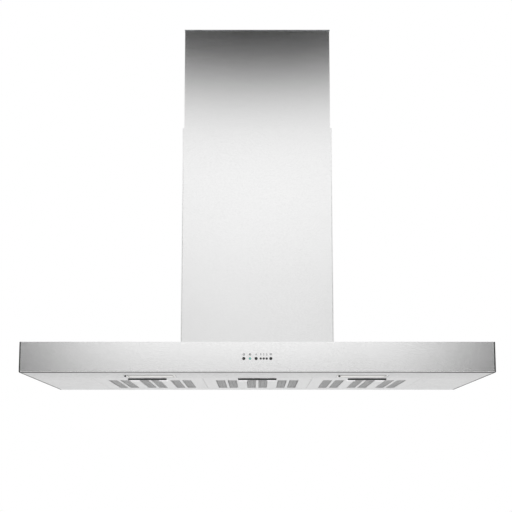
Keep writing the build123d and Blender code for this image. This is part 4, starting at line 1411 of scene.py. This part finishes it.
@dataclass(frozen=True)
class Lamp:
    """A square soft lamp: where it hangs, its power and the length of its side."""

    name: str
    place: tuple[float, float, float]
    power: float
    size: float = 2.6


@dataclass
class Studio:
    """Camera, floor, lamps and the cards that the steel reflects."""

    lens: float = 89.1
    sensor: float = 36.0
    eye: tuple[float, float, float] = (-0.0033, -3.525, -1.2153)
    pitch: float = math.radians(9.61)
    clip: tuple[float, float] = (0.1, 200.0)
    floor_level: float = -2.4
    floor_radius: float = 30.0
    floor_colour: Colour = grey(0.86)
    floor_mottle: float = 0.03
    round_steps: int = 96
    fill: float = 0.68
    card_level: float = 0.008
    card_radius: float = 1.9
    card_hole: tuple[float, float] = (0.2035, 0.1375)
    flag_distance: float = 6.3
    flag_inner: float = 1.42
    flag_outer: float = 7.5
    flag_low: float = -2.38
    flag_high: float = 2.2
    gleam_width: tuple[float, float] = (-1.1, 1.1)
    gleam_depth: tuple[float, float] = (4.7, 7.0)
    gleam_above: float = 0.01
    aim: tuple[float, float, float] = (0.0, 0.0, -0.7)
    lamps: tuple[Lamp, ...] = (
        Lamp("lamp_left", (-3.2, -3.6, 1.4), 60.0),
        Lamp("lamp_right", (3.4, -3.0, 1.0), 40.0),
        Lamp("lamp_back", (0.4, 4.2, 1.2), 30.0),
    )

    def camera(self) -> None:
        """Sets the camera below the canopy's underside, looking a little up."""
        data = bpy.data.cameras.new("camera")
        data.lens, data.sensor_width = self.lens, self.sensor
        data.clip_start, data.clip_end = self.clip
        made = bpy.data.objects.new("camera", data)
        made.location = self.eye
        made.rotation_euler = (math.pi / 2 + self.pitch, 0.0, 0.0)
        bpy.context.scene.collection.objects.link(made)
        bpy.context.scene.camera = made

    def world(self) -> None:
        """White where it is seen or mirrored, softer where it lights."""
        world = bpy.data.worlds.new("studio")
        world.use_nodes = True
        world.node_tree.nodes.clear()
        graph = Graph(world.node_tree)
        rays = graph.add("ShaderNodeLightPath").outputs
        seen = graph.math("MAXIMUM", rays["Is Camera Ray"], rays["Is Glossy Ray"])
        seen = graph.math("MAXIMUM", seen, rays["Is Transmission Ray"])
        strength = graph.swung(self.fill, seen, 1.0 - self.fill)
        light = {"Color": opaque(grey(1.0)), "Strength": strength}
        sky = graph.add("ShaderNodeBackground", light)
        graph.add("ShaderNodeOutputWorld", {"Surface": sky.outputs[0]})
        bpy.context.scene.world = world

    def floor(self) -> None:
        """A wide pale disc, seen from above only: points of a circle round its middle."""
        material, graph = blank_material("floor")
        factor = graph.swung(1.0, graph.cloud(scale=1.5, detail=3.0), self.floor_mottle)
        matt = {
            "Base Color": graph.tinted(self.floor_colour, factor),
            "Roughness": 0.9,
            "Specular IOR Level": 0.1,
        }
        shader = graph.add("ShaderNodeBsdfPrincipled", matt).outputs["BSDF"]
        behind = graph.add("ShaderNodeNewGeometry").outputs["Backfacing"]
        clear = graph.add("ShaderNodeBsdfTransparent").outputs["BSDF"]
        one_sided = graph.add("ShaderNodeMixShader", {0: behind, 1: shader, 2: clear})
        graph.add("ShaderNodeOutputMaterial", {"Surface": one_sided.outputs[0]})
        angle = round_angles(self.round_steps)
        x, y = self.floor_radius * np.cos(angle), self.floor_radius * np.sin(angle)
        face = np.arange(self.round_steps)[None, :]
        made = new_object("floor", points_at(x, y, self.floor_level), face.tolist(), material)

    def card_material(self, name: str, shading: Shading) -> Material:
        """A card that glows evenly, darker towards its middle or its inner edge.

        Args:
            name: the material's name.
            shading: how the glow grows outwards.

        Returns:
            The material.
        """
        material, graph = blank_material(name)
        place = graph.split(graph.here())
        if shading is Shading.ROUND:
            flat = graph.add("ShaderNodeCombineXYZ", {"X": place["X"], "Y": place["Y"]}).outputs[0]
            reach = graph.add("ShaderNodeVectorMath", {0: flat}, operation="LENGTH")
            where = graph.math("DIVIDE", reach.outputs["Value"], self.card_radius)
        else:
            reach = graph.math("SUBTRACT", graph.math("ABSOLUTE", place["X"]), self.flag_inner)
            where = graph.math("DIVIDE", reach, self.flag_outer - self.flag_inner)
        ramp = graph.add("ShaderNodeValToRGB", {"Fac": where})
        elements = ramp.color_ramp.elements
        while len(elements) < len(shading.value):
            elements.new(0.5)
        for element, (position, level) in zip(elements, shading.value):
            element.position, element.color = position, opaque(grey(level))
        graph.glow(ramp.outputs["Color"])
        return material

    def card(self, name: str, points: np.ndarray, faces: np.ndarray, material: Material) -> None:
        """Adds a card for the steel to mirror, out of every other ray's way.

        Args:
            name: the card's name.
            points: its points.
            faces: the points of each face.
            material: what covers it.
        """
        made = new_object(name, points, faces.tolist(), material)
        for ray in ("camera", "diffuse", "shadow", "transmission", "volume_scatter"):
            setattr(made, f"visible_{ray}", False)

    def ceiling_card(self) -> None:
        """Builds the round card above the hood, open over the ceiling plate.

        Formula: the outer points lie on a circle, and each inner point lies in the same direction
        on the rectangle of the opening.
        """
        steps = self.round_steps
        angle = round_angles(steps)
        direction = np.column_stack([np.cos(angle), np.sin(angle)])
        hole = 1.0 / np.abs(direction / np.array(self.card_hole)).max(axis=1)
        rings = np.vstack([direction * hole[:, None], direction * self.card_radius])
        points = points_at(rings[:, 0], rings[:, 1], self.card_level)
        inner = np.arange(steps)
        beside = np.roll(inner, -1)
        faces = np.column_stack([inner, beside, beside + steps, inner + steps])
        self.card("card", points, faces, self.card_material("card", Shading.ROUND))

    def flags(self) -> None:
        """The two dark upright cards in front of the hood."""
        material = self.card_material("flag", Shading.SIDE)
        y, low, high = -self.flag_distance, self.flag_low, self.flag_high
        for sign, name in ((-1.0, "flag_left"), (1.0, "flag_right")):
            inner, outer = sign * self.flag_inner, sign * self.flag_outer
            corners = [(inner, y, low), (outer, y, low), (outer, y, high), (inner, y, high)]
            self.card(name, np.array(corners), np.arange(4)[None, :], material)

    def gleam(self) -> None:
        """A white card that lies on the floor behind the hood, for sloping plates to mirror."""
        material, graph = blank_material("gleam")
        graph.glow(opaque(grey(1.0)))
        (left, right), (near, far) = self.gleam_width, self.gleam_depth
        z = self.floor_level + self.gleam_above
        corners = [(left, near, z), (right, near, z), (right, far, z), (left, far, z)]
        self.card("gleam", np.array(corners), np.arange(4)[None, :], material)

    def hang(self, lamp: Lamp) -> None:
        """Hangs a lamp that looks at the hood's middle and isn't mirrored.

        Args:
            lamp: the lamp.
        """
        data = bpy.data.lights.new(lamp.name, "AREA")
        data.shape, data.size, data.energy = "SQUARE", lamp.size, lamp.power
        made = bpy.data.objects.new(lamp.name, data)
        made.location = lamp.place
        aim = np.array(self.aim) - np.array(lamp.place)
        tip = math.pi / 2 + math.atan2(aim[2], math.hypot(aim[0], aim[1]))
        made.rotation_euler = (tip, 0.0, math.atan2(-aim[0], aim[1]))
        made.visible_glossy = False
        bpy.context.scene.collection.objects.link(made)

    def build(self) -> None:
        """Sets the stage."""
        bpy.context.scene.view_settings.view_transform = "Standard"
        self.camera()
        self.world()
        self.floor()
        self.ceiling_card()
        self.flags()
        self.gleam()
        for lamp in self.lamps:
            self.hang(lamp)


# ---------------------------------------------------------------- dressing


@dataclass
class Dressing:
    """Gives every node of the frame its finish."""

    slots: dict[str, str] = field(
        default_factory=lambda: {
            part["node"]: part["material_slot"] for part in frame["record"]["subparts"]
        }
    )

    def build(self) -> None:
        """Assigns a finish to each node by its name or its slot."""
        for name, node in frame["nodes"].items():
            finish = NODE_FINISH.get(name, SLOT_FINISH[self.slots[name]])
            node.data.materials.clear()
            node.data.materials.append(material_of(finish))
        log.info("dressed %d nodes", len(frame["nodes"]))


def main() -> None:
    """Builds the hood's visual model in order."""
    logging.basicConfig(level=logging.INFO, format="%(message)s")
    Dressing().build()
    for side in Side:
        GreaseFilter(side).build()
    SeamStrips().build()
    for side in (Side.LEFT, Side.RIGHT):
        LampTrim(side).build()
    ControlSigns().build()
    Studio().build()


if __name__ == "__main__":
    main()
